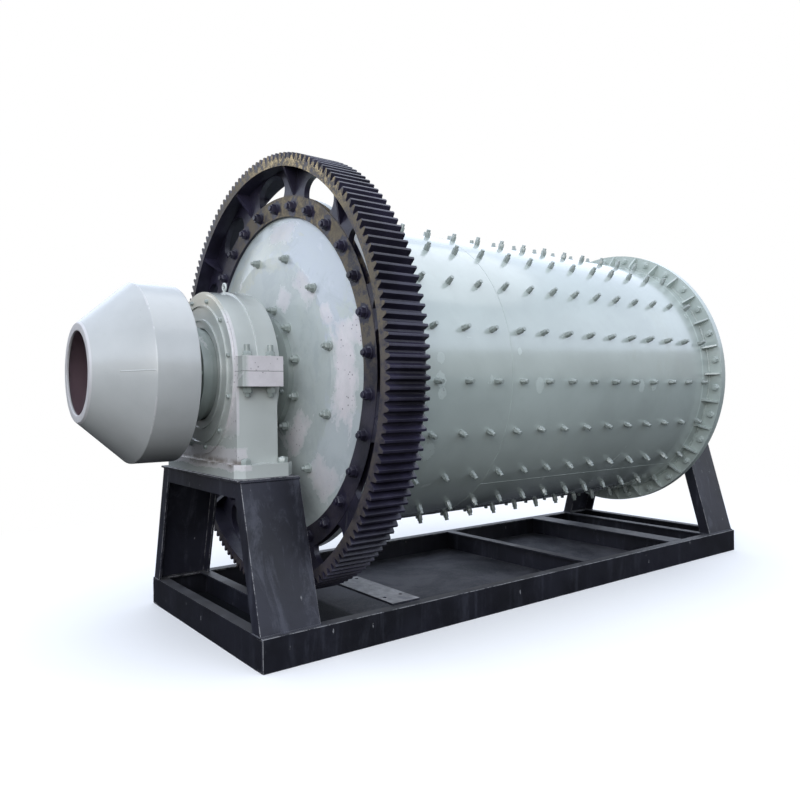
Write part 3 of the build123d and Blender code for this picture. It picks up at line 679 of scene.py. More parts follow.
def gear_black(colours):
    """Thick black paint, glossy where greased, with ochre dust on the front of the upper near side, brightened
    near the top into a painted golden highlight.

    The dust is thin round the ring's bolts, where the paint was touched up.
    """
    paint = Paint("gear_black")
    base = tuple(colours.gear)
    drift = paint.noise(4.0, detail=4)
    lumpy = paint.noise(22.0, detail=5, rough=0.7)
    fine = paint.noise(140.0, detail=3)
    ragged = lumpy + (fine - 0.5) * 0.4
    tone = paint.mix(drift.span(0.35, 0.65), tinted(base, 0.6), tinted(base, 1.5))

    forward = (0 - paint.part(paint.facing, "X")).span(0.6, 0.9)
    turn, reach = paint.turn(), paint.radius()
    near = (1 - ((turn - 62) * (1 / 75)).size()).span(0.0, 0.4)
    # Near the top the dust turns golden: a painted highlight.
    golden_highlight = (1 - ((turn - 72) * (1 / 36)).size()).span(0.0, 0.7) * ragged.span(0.42, 0.64)
    face = (paint.along() - GEAR_FRONT).size().span(0.012, 0.004)
    rim_dust = forward * face * (0.35 + near * 0.65) * ragged.span(0.30, 0.58)
    tone = paint.mix(rim_dust * 0.85, tone, paint.mix(golden_highlight, tuple(colours.dust), GOLDEN_DUST_HIGHLIGHT))

    half_pitch = 180 / FLANGE_BOLTS
    past_bolt = turn.math("WRAP", turn - 180 + RING_BOLT_TURN, half_pitch, -half_pitch)
    round_about = past_bolt * (RING_BOLT_RADIUS * math.pi / 180)
    beside = reach - RING_BOLT_RADIUS
    from_bolt = (round_about * round_about + beside * beside) ** 0.5
    touched = (from_bolt + (lumpy - 0.5) * 0.09).span(0.044, 0.056)
    ring = forward * reach.span(1.012, 0.99) * (0.1 + near * 0.9) * (ragged + (drift - 0.5)).span(0.28, 0.56)
    ring = ring * touched
    tone = paint.mix(ring * 0.85, tone, paint.mix(golden_highlight * 0.6, tinted(colours.dust, 0.9), DULL_GOLD_HIGHLIGHT))

    flecks = paint.cells(60.0).span(0.16, 0.10) * near * forward * lumpy.span(0.5, 0.6)
    tone = paint.mix(flecks * 0.6, tone, DUST_FLECK)
    scuffed = (paint.noise(11.0, detail=6, rough=0.75, warp=0.8) + (fine - 0.5) * 0.2).span(0.69, 0.74)
    # Scuffs, and rounded edges made paler: wear and a painted highlight.
    edges = paint.worn_edge() * ragged.span(0.45, 0.6) * 0.5
    tone = paint.mix(scuffed.most(edges) * 0.35, tone, SCUFF_AND_EDGE_HIGHLIGHT)
    rough = 0.24 + lumpy * 0.22 + rim_dust * 0.4 + ring * 0.35
    return paint.finish(tone, rough, lumpy + fine * 0.3, strength=0.5, depth=0.004)


def frame_navy(name, colours, dusty=0.5, dust_shade=1.0, shade=1.0, rubs=0.5):
    """Near-black paint on rolled steel: dust on upward faces, pale runs, chips, and edges paled as wear and as
    painted highlight.
    """
    paint = Paint(name)
    base = tinted(colours.frame, shade)
    drift = paint.noise(2.4, detail=4)
    patchy = paint.noise(13.0, detail=6, rough=0.7, warp=0.5)
    fine = paint.noise(120.0, detail=3)
    tone = paint.mix(drift.span(0.35, 0.65), tinted(base, 0.7), tinted(base, 1.35))
    upward = paint.part(paint.facing, "Z").span(0.7, 0.95)
    settled = upward * (0.4 + patchy.span(0.3, 0.7) * 0.6)
    tone = paint.mix(settled * dusty, tone, tinted(colours.road_dust, dust_shade))
    runs = paint.noise(5.0, detail=6, rough=0.75, stretch=(1.8, 1.8, 0.20), warp=0.8)
    rubbed = (runs + (patchy - 0.5) * 0.25 + (fine - 0.5) * 0.1).span(0.50, 0.70)
    tone = paint.mix(rubbed * rubs, tone, RUBBED_NAVY)
    nicks = (runs + (patchy - 0.5) * 0.5 + (fine - 0.5) * 0.3).span(0.78, 0.82)
    # Rounded edges go pale: wear and a painted highlight.
    edges = paint.worn_edge() * (patchy + (fine - 0.5) * 0.5).span(0.40, 0.55)
    ragged = patchy + (fine - 0.5) * 2
    chips = paint.cells(11.0, stretch=(1.6, 1.6, 0.5)).span(0.10, 0.05) * ragged.span(0.46, 0.58)
    bare = (nicks * 0.6).most(edges * 0.7).most(chips * 0.8)
    tone = paint.mix(bare, tone, BARE_STEEL_AND_EDGE_HIGHLIGHT)
    rough = 0.28 + patchy * 0.22 + settled * 0.25
    height = patchy * 0.8 + fine * 0.25 + drift * 0.6
    return paint.finish(tone, rough, height, strength=0.4, depth=0.003)


def bay_sheet():
    """Dark sheet in the bays of the base, greyer behind the mounting plate; in front of it a darker sheet is
    painted shade under the gear and drum.
    """
    paint = Paint("bay_sheet")
    broad = paint.noise(1.9, detail=6, rough=0.7, warp=0.5)
    grit = paint.noise(60.0, detail=5, rough=0.75)
    past_plate = paint.along().span(PLATE[LOW].x, PLATE[LOW].x + 0.05)
    tone = paint.mix(broad.span(0.36, 0.64), SHEET_DARK, SHEET_PALE)
    tone = paint.mix(grit.span(0.50, 0.72) * 0.5, tone, GRIT)
    # In front of the mounting plate the sheet is darkened: painted shade.
    tone = paint.mix(past_plate, paint.mix(broad, SHADED_SHEET_DARK, SHADED_SHEET), tone)
    rough = 0.42 + broad * 0.4
    return paint.finish(tone, rough, grit + broad * 2, strength=0.6, depth=0.004, specular=0.08)


def bare_steel(name, colour, smoothest):
    """Turned steel under a film of grease: fine rings round the axis and dull patches."""
    paint = Paint(name)
    patchy = paint.noise(9.0, detail=5)
    fine_rings = paint.noise(60.0, detail=2, stretch=(8.0, 0.15, 0.15))
    tone = paint.mix(patchy.span(0.35, 0.7), colour, tinted(colour, 0.6))
    tone = paint.mix(fine_rings * 0.3, tone, tinted(colour, 1.3))
    rough = smoothest + patchy * 0.25
    return paint.finish(tone, rough, fine_rings, strength=0.12, depth=0.001, metallic=0.55)


def tube_lining():
    """Rust-red inside of the feed tube."""
    paint = Paint("tube_lining")
    patchy = paint.noise(16.0, detail=6, rough=0.7)
    tone = paint.mix(patchy.span(0.3, 0.7), RUST_DARK, RUST)
    return paint.finish(tone, 0.6 + patchy * 0.2, patchy, strength=0.4, depth=0.003)


def make_paints(colours):
    """Every finish of the mill, by the slot or piece that it is for."""
    return {
        "shell": enamel(
            "shell_enamel", colours, shell_primer, hollow=shell_hollow, strip=shell_strip, coat=0.8
        ),
        "head": enamel("head_enamel", colours, head_primer, head_washes, shade=1.06, tint=(1.03, 1.0, 1.04)),
        "drum_paint": enamel("drum_enamel", colours),
        "feeder": enamel("feeder_enamel", colours, feeder_seams, hollow=feeder_hollow, tint=FEEDER_TINT),
        "trunnion": enamel("trunnion_enamel", colours, hollow=trunnion_hollow, shade=0.68),
        "housing_paint": enamel(
            "housing_enamel", colours, housing_primer, grime=housing_grime,
            cast=0.5, shade=1.13, tint=(1.04, 0.98, 1.0), coat=0.9,
        ),
        # Bolts get a darker enamel: partly the nuts' own grey, partly painted shade on their dimly lit sides.
        "bolt_enamel": enamel("bolt_enamel", colours, shade=0.70),
        "seam_enamel": enamel("seam_enamel", colours, shade=1.1, tint=FEEDER_TINT),
        "gear_paint": gear_black(colours),
        "frame_paint": frame_navy("frame_navy", colours),
        "plate_navy": frame_navy("plate_navy", colours, dusty=0.95, dust_shade=3.0),
        # The beams' navy is darkened: painted shade.
        "beam_navy": frame_navy("beam_navy", colours, shade=0.6, rubs=0.22),
        "bay_sheet": bay_sheet(),
        "journal_steel": bare_steel("journal_steel", (0.33, 0.35, 0.35), 0.3),
        "race_steel": bare_steel("race_steel", (0.30, 0.31, 0.32), 0.35),
        "tube_lining": tube_lining(),
    }


SPECIAL_FINISH = {
    "shell": "shell",
    "front_head": "head",
    "feed_band": "feeder",
    "feed_cone": "feeder",
    "feed_mouth_ring": "feeder",
    "front_trunnion": "trunnion",
    "rear_trunnion": "trunnion",
    "mounting_plate": "plate_navy",
    # The beams take the darkened navy: painted shade.
    "side_beam_right": "beam_navy",
    "side_beam_left": "beam_navy",
    "end_beam_front": "beam_navy",
    "end_beam_rear": "beam_navy",
}
paints = {}


# Making pieces


def finish_of(node):
    return SPECIAL_FINISH.get(node, SLOTS[node])


def link(name, mesh, body, finish):
    """Puts a finished mesh into the scene as a piece that rides on one body."""
    piece = bpy.data.objects.new(name, mesh)
    bpy.context.scene.collection.objects.link(piece)
    mesh.materials.clear()
    mesh.materials.append(paints[finish])
    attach(piece, body)
    return piece


def add_piece(name, shape, body, slot, finish=None, crease=38.0):
    """Makes a mesh from a shape, smooth except across edges sharper than crease degrees."""
    points, faces = shape
    mesh = bpy.data.meshes.new(name)
    mesh.from_pydata(points.tolist(), [], [face for group in faces for face in group.tolist()])
    mesh.shade_smooth()
    mesh.set_sharp_from_angle(angle=math.radians(crease))
    mesh.update()
    return link(name, mesh, body, finish or slot)


def add_welds(name, beads, body="drum", slot="drum_paint", finish=None):
    """Makes one mesh of several beads, smooth all over."""
    add_piece(name, joined(*beads), body, slot, finish, crease=180)


def soften(node, name, body, width, segments=2):
    """Stands for a CAD node: its merged solid with every sharp edge rounded to width."""
    solid = bmesh.new()
    solid.from_mesh(NODES[node].data)
    bmesh.ops.remove_doubles(solid, verts=solid.verts, dist=1e-5)
    flat = math.radians(0.4)
    bmesh.ops.dissolve_limit(solid, angle_limit=flat, verts=solid.verts, edges=solid.edges)
    # Marks the rounded faces, which the paints make paler as wear and as painted highlight.
    worn = solid.faces.layers.float.new("worn_edge")
    sharp = [edge for edge in solid.edges if edge.is_manifold and edge.calc_face_angle() > 0.5]
    rounded = bmesh.ops.bevel(
        solid,
        geom=sharp,
        offset=width,
        segments=segments,
        profile=0.5,
        affect="EDGES",
        clamp_overlap=True,
    )
    for face in rounded["faces"]:
        face[worn] = 1.0
    mesh = bpy.data.meshes.new(name)
    solid.to_mesh(mesh)
    solid.free()
    mesh.shade_smooth()
    mesh.set_sharp_from_angle(angle=math.radians(46))
    piece = link(name, mesh, body, finish_of(node))
    weighting = piece.modifiers.new("weighted_normals", "WEIGHTED_NORMAL")
    weighting.keep_sharp = True
    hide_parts(node)


class MillFastenerSizes(bpy.types.PropertyGroup):
    """Sizes of the bolts and welds that a user may change."""

    liner_rows: bpy.props.IntProperty(name="Liner rows", description="Bolt rows round the shell", default=20)
    liner_stations: bpy.props.IntProperty(
        name="Liner stations", description="Bolts in each row along the shell", default=14
    )
    liner_pitch: bpy.props.FloatProperty(
        name="Liner pitch", description="Distance between bolts in a row", default=0.2087, unit="LENGTH"
    )
    liner_height: bpy.props.FloatProperty(
        name="Liner bolt height", description="How far a liner bolt stands out", default=0.049, unit="LENGTH"
    )
    nut_flats: bpy.props.FloatProperty(
        name="Nut flats", description="Width across flats of the liner nuts", default=0.0305, unit="LENGTH"
    )
    heavy_flats: bpy.props.FloatProperty(
        name="Flange nut flats", description="Flats of the flange nuts", default=0.046, unit="LENGTH"
    )
    bead_width: bpy.props.FloatProperty(
        name="Weld width", description="Width of the fillet welds", default=0.012, unit="LENGTH"
    )


class MillColours(bpy.types.PropertyGroup):
    """Colours of the finishes that a user may change."""

    enamel: bpy.props.FloatVectorProperty(
        name="Enamel", description="Grey-green of the drum", subtype="COLOR", default=(0.42, 0.475, 0.445)
    )
    primer: bpy.props.FloatVectorProperty(
        name="Primer", description="Chalky primer patches", subtype="COLOR", default=(0.71, 0.67, 0.69)
    )
    gear: bpy.props.FloatVectorProperty(
        name="Gear black", description="Paint of the gear", subtype="COLOR", default=(0.0195, 0.0175, 0.0335)
    )
    frame: bpy.props.FloatVectorProperty(
        name="Frame navy", description="Paint of the base", subtype="COLOR", default=(0.016, 0.0165, 0.025)
    )
    dust: bpy.props.FloatVectorProperty(
        name="Ochre dust", description="Dust on the gear", subtype="COLOR", default=(0.16, 0.132, 0.088)
    )
    road_dust: bpy.props.FloatVectorProperty(
        name="Grey dust", description="Dust on the base", subtype="COLOR", default=(0.16, 0.16, 0.165)
    )


class MillStage(bpy.types.PropertyGroup):
    """Light of the studio."""

    sky: bpy.props.FloatProperty(name="Sky", description="Strength of the sky light", default=1.1)
    floor: bpy.props.FloatProperty(name="Floor", description="Light that the floor sends back", default=0.03)
    overhead: bpy.props.FloatProperty(name="Overhead", description="Watts of the lamp above", default=140.0)
    side: bpy.props.FloatProperty(name="Side", description="Watts of the lamp at the side", default=200.0)


class MILL_OT_paint_solids(bpy.types.Operator):
    """Gives every solid of the mill its painted or bare finish"""

    bl_idname = "mill.paint_solids"
    bl_label = "Paint the solids"

    def execute(self, context):
        paints.update(make_paints(context.scene.mill_colours))
        for node in SLOTS:
            materials = NODES[node].data.materials
            materials.clear()
            materials.append(paints[finish_of(node)])
        return {"FINISHED"}


class MILL_OT_castings(bpy.types.Operator):
    """Rounds the edges of the bearing housings, the gear's spider and its toothed rim"""

    bl_idname = "mill.castings"
    bl_label = "Castings"

    def execute(self, context):
        for end, _ in ENDS:
            for piece in ("base", "cap"):
                soften(f"{end}_bearing_{piece}", f"{end}_bearing_{piece}_casting", "frame", 0.006, 3)
        soften("gear_spider", "gear_spider_casting", "drum", 0.007, 3)
        soften("gear_rim", "gear_rim_toothed", "drum", 0.0012, 1)
        return {"FINISHED"}


class MILL_OT_feeder_skin(bpy.types.Operator):
    """Stands for the feeder's band, cone and mouth ring: one turned skin with rounded corners"""

    bl_idname = "mill.feeder_skin"
    bl_label = "Feeder skin"

    def execute(self, context):
        face, inner_face = MOUTH[LOW].x, MOUTH[HIGH].x
        wall = inner_face - face
        corner, back = BAND[LOW].x, BAND[HIGH].x
        rounded_points = [
            ((back, BAND_RADIUS - wall), 0.002),
            ((corner, BAND_RADIUS - wall), 0.02),
            ((inner_face, MOUTH_RADIUS - wall), 0.004),
            ((inner_face, MOUTH_BORE), 0.002),
            ((face, MOUTH_BORE), 0.003),
            ((face, MOUTH_RADIUS), 0.004),
            ((corner, BAND_RADIUS), 0.010),
            ((back, BAND_RADIUS), 0.006),
        ]
        outline, radii = zip(*rounded_points)
        arcs = []
        for index, radius in enumerate(radii):
            sides = outline[index - 1], outline[index], outline[(index + 1) % len(outline)]
            arcs.append(rounded_corner(*sides, radius))
        section = ring_section(np.concatenate(arcs), 160)
        skin = add_piece("feeder_skin", section, "drum", "drum_paint", "feeder", 60)
        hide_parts("feed_band", "feed_cone", "feed_mouth_ring")
        return {"FINISHED"}


class MILL_OT_rolled_steel(bpy.types.Operator):
    """Rounds the edges of the rolled and cut steel of the base"""

    bl_idname = "mill.rolled_steel"
    bl_label = "Rolled steel"

    def execute(self, context):
        rolled = ["side_beam_right", "side_beam_left", "end_beam_front", "end_beam_rear"]
        rolled += [f"{end}_leg_{side}" for end, _ in ENDS for side in ("right", "left")]
        rolled += ["front_stand_top", "rear_stand_top", "mounting_plate"]
        for node in rolled:
            soften(node, f"{node}_steel", "frame", 0.003)
        return {"FINISHED"}


class MILL_OT_liner_bolts(bpy.types.Operator):
    """Sets the rows of liner bolts round the shell"""

    bl_idname = "mill.liner_bolts"
    bl_label = "Liner bolts"

    def execute(self, context):
        sizes = context.scene.mill_sizes
        generator = np.random.default_rng(20)
        first_row, first_station = 183.3, GEAR_FRONT + 0.3233
        rows = first_row + np.arange(sizes.liner_rows) * 360 / sizes.liner_rows
        places = []
        for station in range(sizes.liner_stations):
            x = first_station + station * sizes.liner_pitch
            places.append(ring_places(x, SHELL_RADIUS, rows, "out"))
        spots, frames = map(np.concatenate, zip(*places))
        spots[:, 0] += generator.normal(0, 0.003, len(spots))
        frames = unsettled(frames, generator, 1.6)
        bolt = fastener(
            (0.0175, 0.004), sizes.nut_flats, nut_top=0.032, stub=0.0125, stub_top=sizes.liner_height
        )
        stretch = generator.uniform(0.9, 1.1, len(spots))
        add_piece("liner_bolts", repeated(bolt, spots, frames, stretch), "drum", "drum_paint", "bolt_enamel")
        return {"FINISHED"}


class MILL_OT_head_bolts(bpy.types.Operator):
    """Sets two rings of liner bolts and the hub bolts on each head"""

    bl_idname = "mill.head_bolts"
    bl_label = "Head bolts"

    def execute(self, context):
        generator = np.random.default_rng(12)
        turns = 19.1 + np.arange(12) * 30
        flats = context.scene.mill_sizes.nut_flats * 1.2
        bolt = fastener((0.026, 0.006), flats, nut_top=0.030, stub=0.0105, stub_top=0.046)
        hub_bolt = fastener((0.018, 0.003), 0.030, nut_top=0.020, stub=0.010, stub_top=0.028)
        middle = middle_x("shell")
        # How far the head lies behind the plane of the gear's front, at its outer and its inner ring
        outer_depth, inner_depth, hub_flange = 0.045, 0.018, 0.030
        outer_x = middle - (GEAR_FRONT + outer_depth)
        inner_x = middle - (GEAR_FRONT + inner_depth)
        bolt_rings = ((outer_x, 0.66, bolt), (inner_x, 0.372, bolt), (inner_x + hub_flange, 0.296, hub_bolt))
        for end, way in ENDS:
            parts = []
            for distance, radius, kind in bolt_rings:
                places = ring_places(middle + way * distance, radius, turns, end)
                parts.append(scattered(kind, places, generator, 1.5))
            add_piece(f"{end}_head_bolts", joined(*parts), "drum", "drum_paint", "bolt_enamel")
        return {"FINISHED"}


class MILL_OT_flange_bolts(bpy.types.Operator):
    """Sets the bolts of the gear's ring and of the two shell flanges"""

    bl_idname = "mill.flange_bolts"
    bl_label = "Flange bolts"

    def execute(self, context):
        generator = np.random.default_rng(30)
        heavy_flats = context.scene.mill_sizes.heavy_flats
        bolt = fastener((0.031, 0.006), heavy_flats, nut_top=0.032, stub=0.0155, stub_top=0.044)
        head = fastener((0.026, 0.004), 0.041, nut_top=0.022, stub=0.012, stub_top=0.026)
        front_turns, rear_turns = RING_BOLT_TURN + BOLT_TURNS, 5.5 + BOLT_TURNS
        front_radius, rear_radius, head_flange = 0.948, 0.955, 0.025

        def ring(kind, x, radius, turns, facing, lean):
            return scattered(kind, ring_places(x, radius, turns, facing), generator, lean)

        gear_ring = ring(bolt, GEAR_RING_FACE, RING_BOLT_RADIUS, front_turns, "front", 1.5)
        add_piece("gear_ring_bolts", gear_ring, "drum", "gear_paint")
        shell_rings = (
            ring(head, FRONT_FLANGE[HIGH].x, front_radius, front_turns, "rear", 0.5),
            ring(head, REAR_FLANGE[LOW].x, rear_radius, rear_turns, "front", 0.5),
            ring(bolt, REAR_FLANGE[HIGH].x + head_flange, rear_radius, rear_turns, "rear", 1.0),
        )
        add_piece("shell_flange_bolts", joined(*shell_rings), "drum", "drum_paint")
        return {"FINISHED"}


class MILL_OT_bearing_bolts(bpy.types.Operator):
    """Sets the split bolts, the hold-down nuts and the cover screws of both bearings"""

    bl_idname = "mill.bearing_bolts"
    bl_label = "Bearing bolts"

    def execute(self, context):
        generator = np.random.default_rng(8)
        above = fastener((0.026, 0.006), 0.041, nut_top=0.025, stub=0.0145, stub_top=0.058)
        below = fastener((0.024, 0.004), 0.041, nut_top=0.032, stub=0.0125, stub_top=0.050)
        hold = fastener((0.027, 0.003), 0.046, nut_top=0.027, stub=0.012, stub_top=0.031)
        screw = fastener((0.013, 0.002), 0.020, nut_top=0.012, stub=0.006, stub_top=0.013)
        ear_high = AXIS_Z + EAR_HEIGHT + SPLIT_GAP
        ear_low = AXIS_Z - EAR_HEIGHT
        screw_turns, screw_radius = 17.9 + np.arange(12) * 30, 0.394

        def corners(x, half_length, half_width, z):
            ways = (-1, 1)
            return [(x + dx * half_length, dy * half_width, z) for dx in ways for dy in ways]

        for end, x, way in BEARINGS:
            foot_x = middle_x(f"{end}_leg_right")
            upright = (
                (above, upright_places(corners(x, 0.0625, 0.463, ear_high))),
                (below, upright_places(corners(x, 0.0625, 0.463, ear_low), -1.0)),
                (hold, upright_places(corners(foot_x, 0.1, 0.466, PLINTH_TOP))),
            )
            parts = [scattered(kind, places, generator, 0.6) for kind, places in upright]
            for cover, side in ((OUTER_COVER, way), (INNER_COVER, -way)):
                facing = "rear" if side > 0 else "front"
                cover_x = x + side * (HOUSING_HALF + cover)
                places = ring_places(cover_x, screw_radius, screw_turns, facing)
                parts.append(scattered(screw, places, generator, 0.5))
            add_piece(f"{end}_bearing_bolts", joined(*parts), "frame", "housing_paint", "bolt_enamel")
        return {"FINISHED"}


class MILL_OT_drum_welds(bpy.types.Operator):
    """Lays the weld beads of the shell, the gussets and the feeder"""

    bl_idname = "mill.drum_welds"
    bl_label = "Drum welds"

    def execute(self, context):
        self.weld_shell(context.scene.mill_sizes.bead_width)
        self.weld_gussets()
        self.weld_feeder()
        return {"FINISHED"}

    def weld_shell(self, width):
        """One girth seam, two seams along the shell ground nearly flush, and a bead at each flange."""
        flush_width, flush_height = width * 0.6, 0.0014
        girth = hoop(GIRTH_SEAM_X, SHELL_RADIUS)
        parts = [bead(*girth, flush_width, flush_height, closed=True, pitch=0.018)]
        for x, way in ((FRONT_FLANGE[HIGH].x, 1), (REAR_FLANGE[LOW].x, -1)):
            inside_flange = hoop(x + way * 0.002, SHELL_RADIUS + 0.002)
            parts.append(bead(*inside_flange, width, 0.007, closed=True, pitch=0.02))
        lengths = ((GIRTH_SEAM_X, REAR_FLANGE[LOW].x, 226.5), (FRONT_FLANGE[HIGH].x, GIRTH_SEAM_X, 61.0))
        for length in lengths:
            parts.append(bead(*along_shell(*length), flush_width, flush_height))
        add_welds("shell_welds", parts)

    def weld_gussets(self):
        """A bead on both sides of each gusset's foot."""
        parts = []
        beside = math.degrees(0.0075 / SHELL_RADIUS)
        for x, way in ((FRONT_FLANGE[HIGH].x, 1), (REAR_FLANGE[LOW].x, -1)):
            for degrees in GUSSET_TURN + BOLT_TURNS:
                for side in (-beside, beside):
                    foot = along_shell(x, x + way * GUSSET_WELD, degrees + side, spacing=0.005)
                    parts.append(bead(*foot, 0.008, 0.005, sides=6))
        add_welds("gusset_welds", parts)

    def weld_feeder(self):
        """A seam up the cone on the near side, and a bead where the back plate meets the band."""
        seam_start, seam_end = MOUTH[LOW].x + 0.11, BAND[LOW].x - 0.005
        first, outward = on_drum(seam_start, cone_radius(seam_start), 180.2)
        last, _ = on_drum(seam_end, cone_radius(seam_end), 179.6)
        lean = outward - np.array([CONE_SLOPE, 0, 0])
        seam = bead(*straight(first, last, lean), 0.006, 0.0013)
        add_welds("feeder_seam", [seam], finish="seam_enamel")
        back = hoop(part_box("feed_back_plate")[LOW].x, BAND_RADIUS - 0.012)
        add_welds("feeder_welds", [bead(*back, 0.012, 0.004, closed=True)])


class MILL_OT_frame_welds(bpy.types.Operator):
    """Lays the weld beads of the base and of the two stands"""

    bl_idname = "mill.frame_welds"
    bl_label = "Frame welds"

    def execute(self, context):
        width = context.scene.mill_sizes.bead_width
        stand_half_width, leg_flange = 0.529, 0.084
        parts = []
        for end, _ in ENDS:
            for side, way in (("right", -1), ("left", 1)):
                low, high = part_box(f"{end}_leg_{side}")
                foot = low.y if way < 0 else high.y
                head = way * stand_half_width
                out = (0, way, 0.35)
                foot_line = straight((low.x, foot, low.z), (high.x, foot, low.z), out)
                head_line = straight((low.x, head, high.z), (high.x, head, high.z), out)
                parts += [bead(*foot_line, width, 0.006), bead(*head_line, width, 0.005)]
                for x, face in ((low.x, -1), (high.x, 1)):
                    inward = foot - way * leg_flange
                    line = straight((x, foot, low.z), (x, inward, low.z), (face, 0, 0.35))
                    parts.append(bead(*line, width, 0.005))
        low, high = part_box("side_beam_right")[LOW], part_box("side_beam_left")[HIGH]
        web, seam_low, seam_high = 0.009, 0.008, 0.152
        for x, face in ((low.x, -1), (high.x, 1)):
            for y in (low.y + web, high.y - web):
                line = straight((x, y, seam_low), (x, y, seam_high), (face, 0, 0))
                parts.append(bead(*line, 0.009, 0.003))
        add_welds("frame_welds", parts, "frame", "frame_paint")
        return {"FINISHED"}


def place_in_scene(name, data, right, above, back, place):
    """Puts a lamp or a camera into the scene, which looks against its back direction."""
    holder = bpy.data.objects.new(name, data)
    bpy.context.scene.collection.objects.link(holder)
    axes = np.eye(4)
    axes[:3] = np.stack([right, above, back, place], -1)
    holder.matrix_world = Matrix(axes.tolist())
    return holder


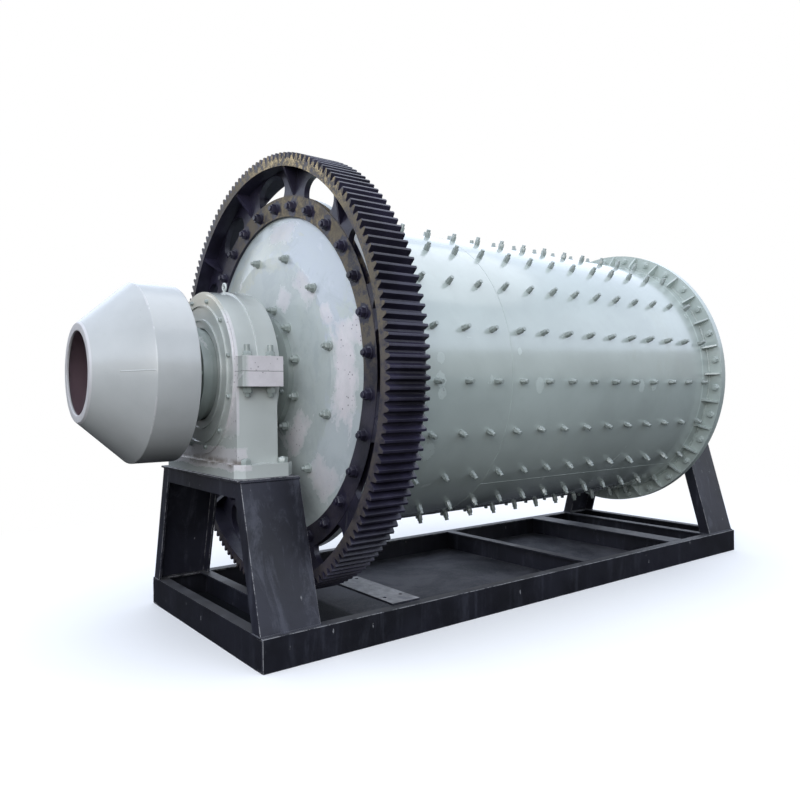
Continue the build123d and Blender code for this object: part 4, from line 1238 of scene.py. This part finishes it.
class MILL_OT_stage(bpy.types.Operator):
    """Sets the floor, the soft sky, two lamps and the camera"""

    bl_idname = "mill.stage"
    bl_label = "Stage"

    def execute(self, context):
        scene, stage = context.scene, context.scene.mill_stage
        scene.view_settings.view_transform = "Standard"
        self.add_floor(scene, stage.floor)
        self.add_sky(scene, stage.sky)
        self.add_lamp("overhead_lamp", (0.3, -0.6, 6.5), (0.2, 0, 0), (9, 6), stage.overhead)
        self.add_lamp("side_lamp", (-5.5, -5.0, 3.2), (0, 0, 1.2), (5, 4), stage.side)
        self.add_camera(scene)
        return {"FINISHED"}

    def add_floor(self, scene, light_share):
        """A pale floor that keeps the mill's shadow and fades to white away from it."""
        paint = Paint("floor")
        paint.finish(paint.mix(paint.noise(0.8), FLOOR_SHADE, FLOOR_PALE), 0.9, specular=0.0)
        away = paint.vector("LENGTH", paint.vector("MULTIPLY", paint.place, (0.6, 1, 0)), out=1)
        white = paint.node("ShaderNodeEmission")
        shares = {0: away.span(1.6, 4.2), 1: paint.surface, 2: white}
        fading = paint.node("ShaderNodeMixShader", None, shares)
        darker = paint.node("ShaderNodeBsdfDiffuse", None, {"Color": (light_share,) * 3})
        paint.show(seen=fading, sent=darker)
        side = 60.0
        corners = [(-side, -side, 0), (side, -side, 0), (side, side, 0), (-side, side, 0)]
        mesh = bpy.data.meshes.new("floor")
        mesh.from_pydata(corners, [], [(0, 1, 2, 3)])
        mesh.materials.append(paint.material)
        floor = bpy.data.objects.new("floor", mesh)
        scene.collection.objects.link(floor)

    def add_sky(self, scene, strength):
        """A sky that is dark below the horizon, brightest just over it and blue above."""
        scene.world = bpy.data.worlds.new("studio")
        scene.world.use_nodes = True
        sky = NodeTree(scene.world.node_tree, "ShaderNodeOutputWorld")
        stops = [
            (0.0, (0.36, 0.36, 0.36)),
            (0.225, (0.50, 0.51, 0.52)),
            (0.262, (1.45, 1.60, 1.88)),
            (0.50, (1.22, 1.35, 1.57)),
            (0.62, (0.74, 0.83, 1.02)),
            (1.0, (0.74, 0.83, 1.02)),
        ]
        height = sky.part(sky.node("ShaderNodeTexCoord", out="Generated"), "Z")
        colour = sky.node("ShaderNodeValToRGB", None, {0: height})
        ramp = colour.socket.node.color_ramp
        for _ in stops[2:]:
            ramp.elements.new(0.5)
        for element, (position, shade) in zip(ramp.elements, stops):
            element.position = position
            element.color = (*shade, 1)
        light = sky.node("ShaderNodeBackground", None, {"Color": colour, "Strength": strength})
        white = sky.node("ShaderNodeBackground", None, {"Color": (1, 1, 1)})
        sky.show(seen=white, sent=light)

    def add_lamp(self, name, place, target, size, power):
        lamp = bpy.data.lights.new(name, "AREA")
        lamp.shape = "RECTANGLE"
        lamp.size, lamp.size_y = size
        lamp.energy = power
        back = np.array(place, float) - np.array(target, float)
        back /= np.linalg.norm(back)
        side = np.cross((0, 1, 0) if abs(back[2]) > 0.9 else (0, 0, 1), back)
        side /= np.linalg.norm(side)
        place_in_scene(name, lamp, side, np.cross(back, side), back, place)

    def add_camera(self, scene):
        yaw, pitch, roll = (math.radians(angle) for angle in (52.782, -0.269, -0.653))
        level_share = math.cos(pitch)
        forward = np.array([level_share * math.cos(yaw), level_share * math.sin(yaw), math.sin(pitch)])
        level = np.cross(forward, (0, 0, 1))
        level /= np.linalg.norm(level)
        upward = np.cross(level, forward)
        right = math.cos(roll) * level + math.sin(roll) * upward
        above = -math.sin(roll) * level + math.cos(roll) * upward
        camera = bpy.data.cameras.new("camera")
        camera.lens = 32.42
        camera.sensor_width = 36.0
        camera.clip_end = 200.0
        place = (GEAR_FRONT - 1.8468, -3.7152, AXIS_Z - 0.1314)
        scene.camera = place_in_scene("camera", camera, right, above, -forward, place)


class MILL_PT_panel(bpy.types.Panel):
    """Lists the steps that dress the mill"""

    bl_idname = "MILL_PT_panel"
    bl_label = "Grinding mill"
    bl_space_type = "VIEW_3D"
    bl_region_type = "UI"
    bl_category = "Mill"

    def draw(self, context):
        for group in GROUPS:
            settings = getattr(context.scene, group)
            box = self.layout.box()
            for name in type(settings).__annotations__:
                box.prop(settings, name)
        for operator in OPERATORS:
            self.layout.operator(operator.bl_idname)


OPERATORS = (
    MILL_OT_paint_solids,
    MILL_OT_castings,
    MILL_OT_feeder_skin,
    MILL_OT_rolled_steel,
    MILL_OT_liner_bolts,
    MILL_OT_head_bolts,
    MILL_OT_flange_bolts,
    MILL_OT_bearing_bolts,
    MILL_OT_drum_welds,
    MILL_OT_frame_welds,
    MILL_OT_stage,
)
GROUPS = {"mill_sizes": MillFastenerSizes, "mill_colours": MillColours, "mill_stage": MillStage}


def register():
    for kind in (*GROUPS.values(), *OPERATORS, MILL_PT_panel):
        bpy.utils.register_class(kind)
    for name, kind in GROUPS.items():
        setattr(bpy.types.Scene, name, bpy.props.PointerProperty(type=kind))


def unregister():
    for name in GROUPS:
        delattr(bpy.types.Scene, name)
    for kind in (MILL_PT_panel, *reversed(OPERATORS), *reversed(GROUPS.values())):
        bpy.utils.unregister_class(kind)


def main():
    register()
    bpy.ops.mill.paint_solids()
    bpy.ops.mill.castings()
    bpy.ops.mill.feeder_skin()
    bpy.ops.mill.rolled_steel()
    bpy.ops.mill.liner_bolts()
    bpy.ops.mill.head_bolts()
    bpy.ops.mill.flange_bolts()
    bpy.ops.mill.bearing_bolts()
    bpy.ops.mill.drum_welds()
    bpy.ops.mill.frame_welds()
    bpy.ops.mill.stage()
    bpy.context.view_layer.update()


if __name__ == "__main__":
    main()
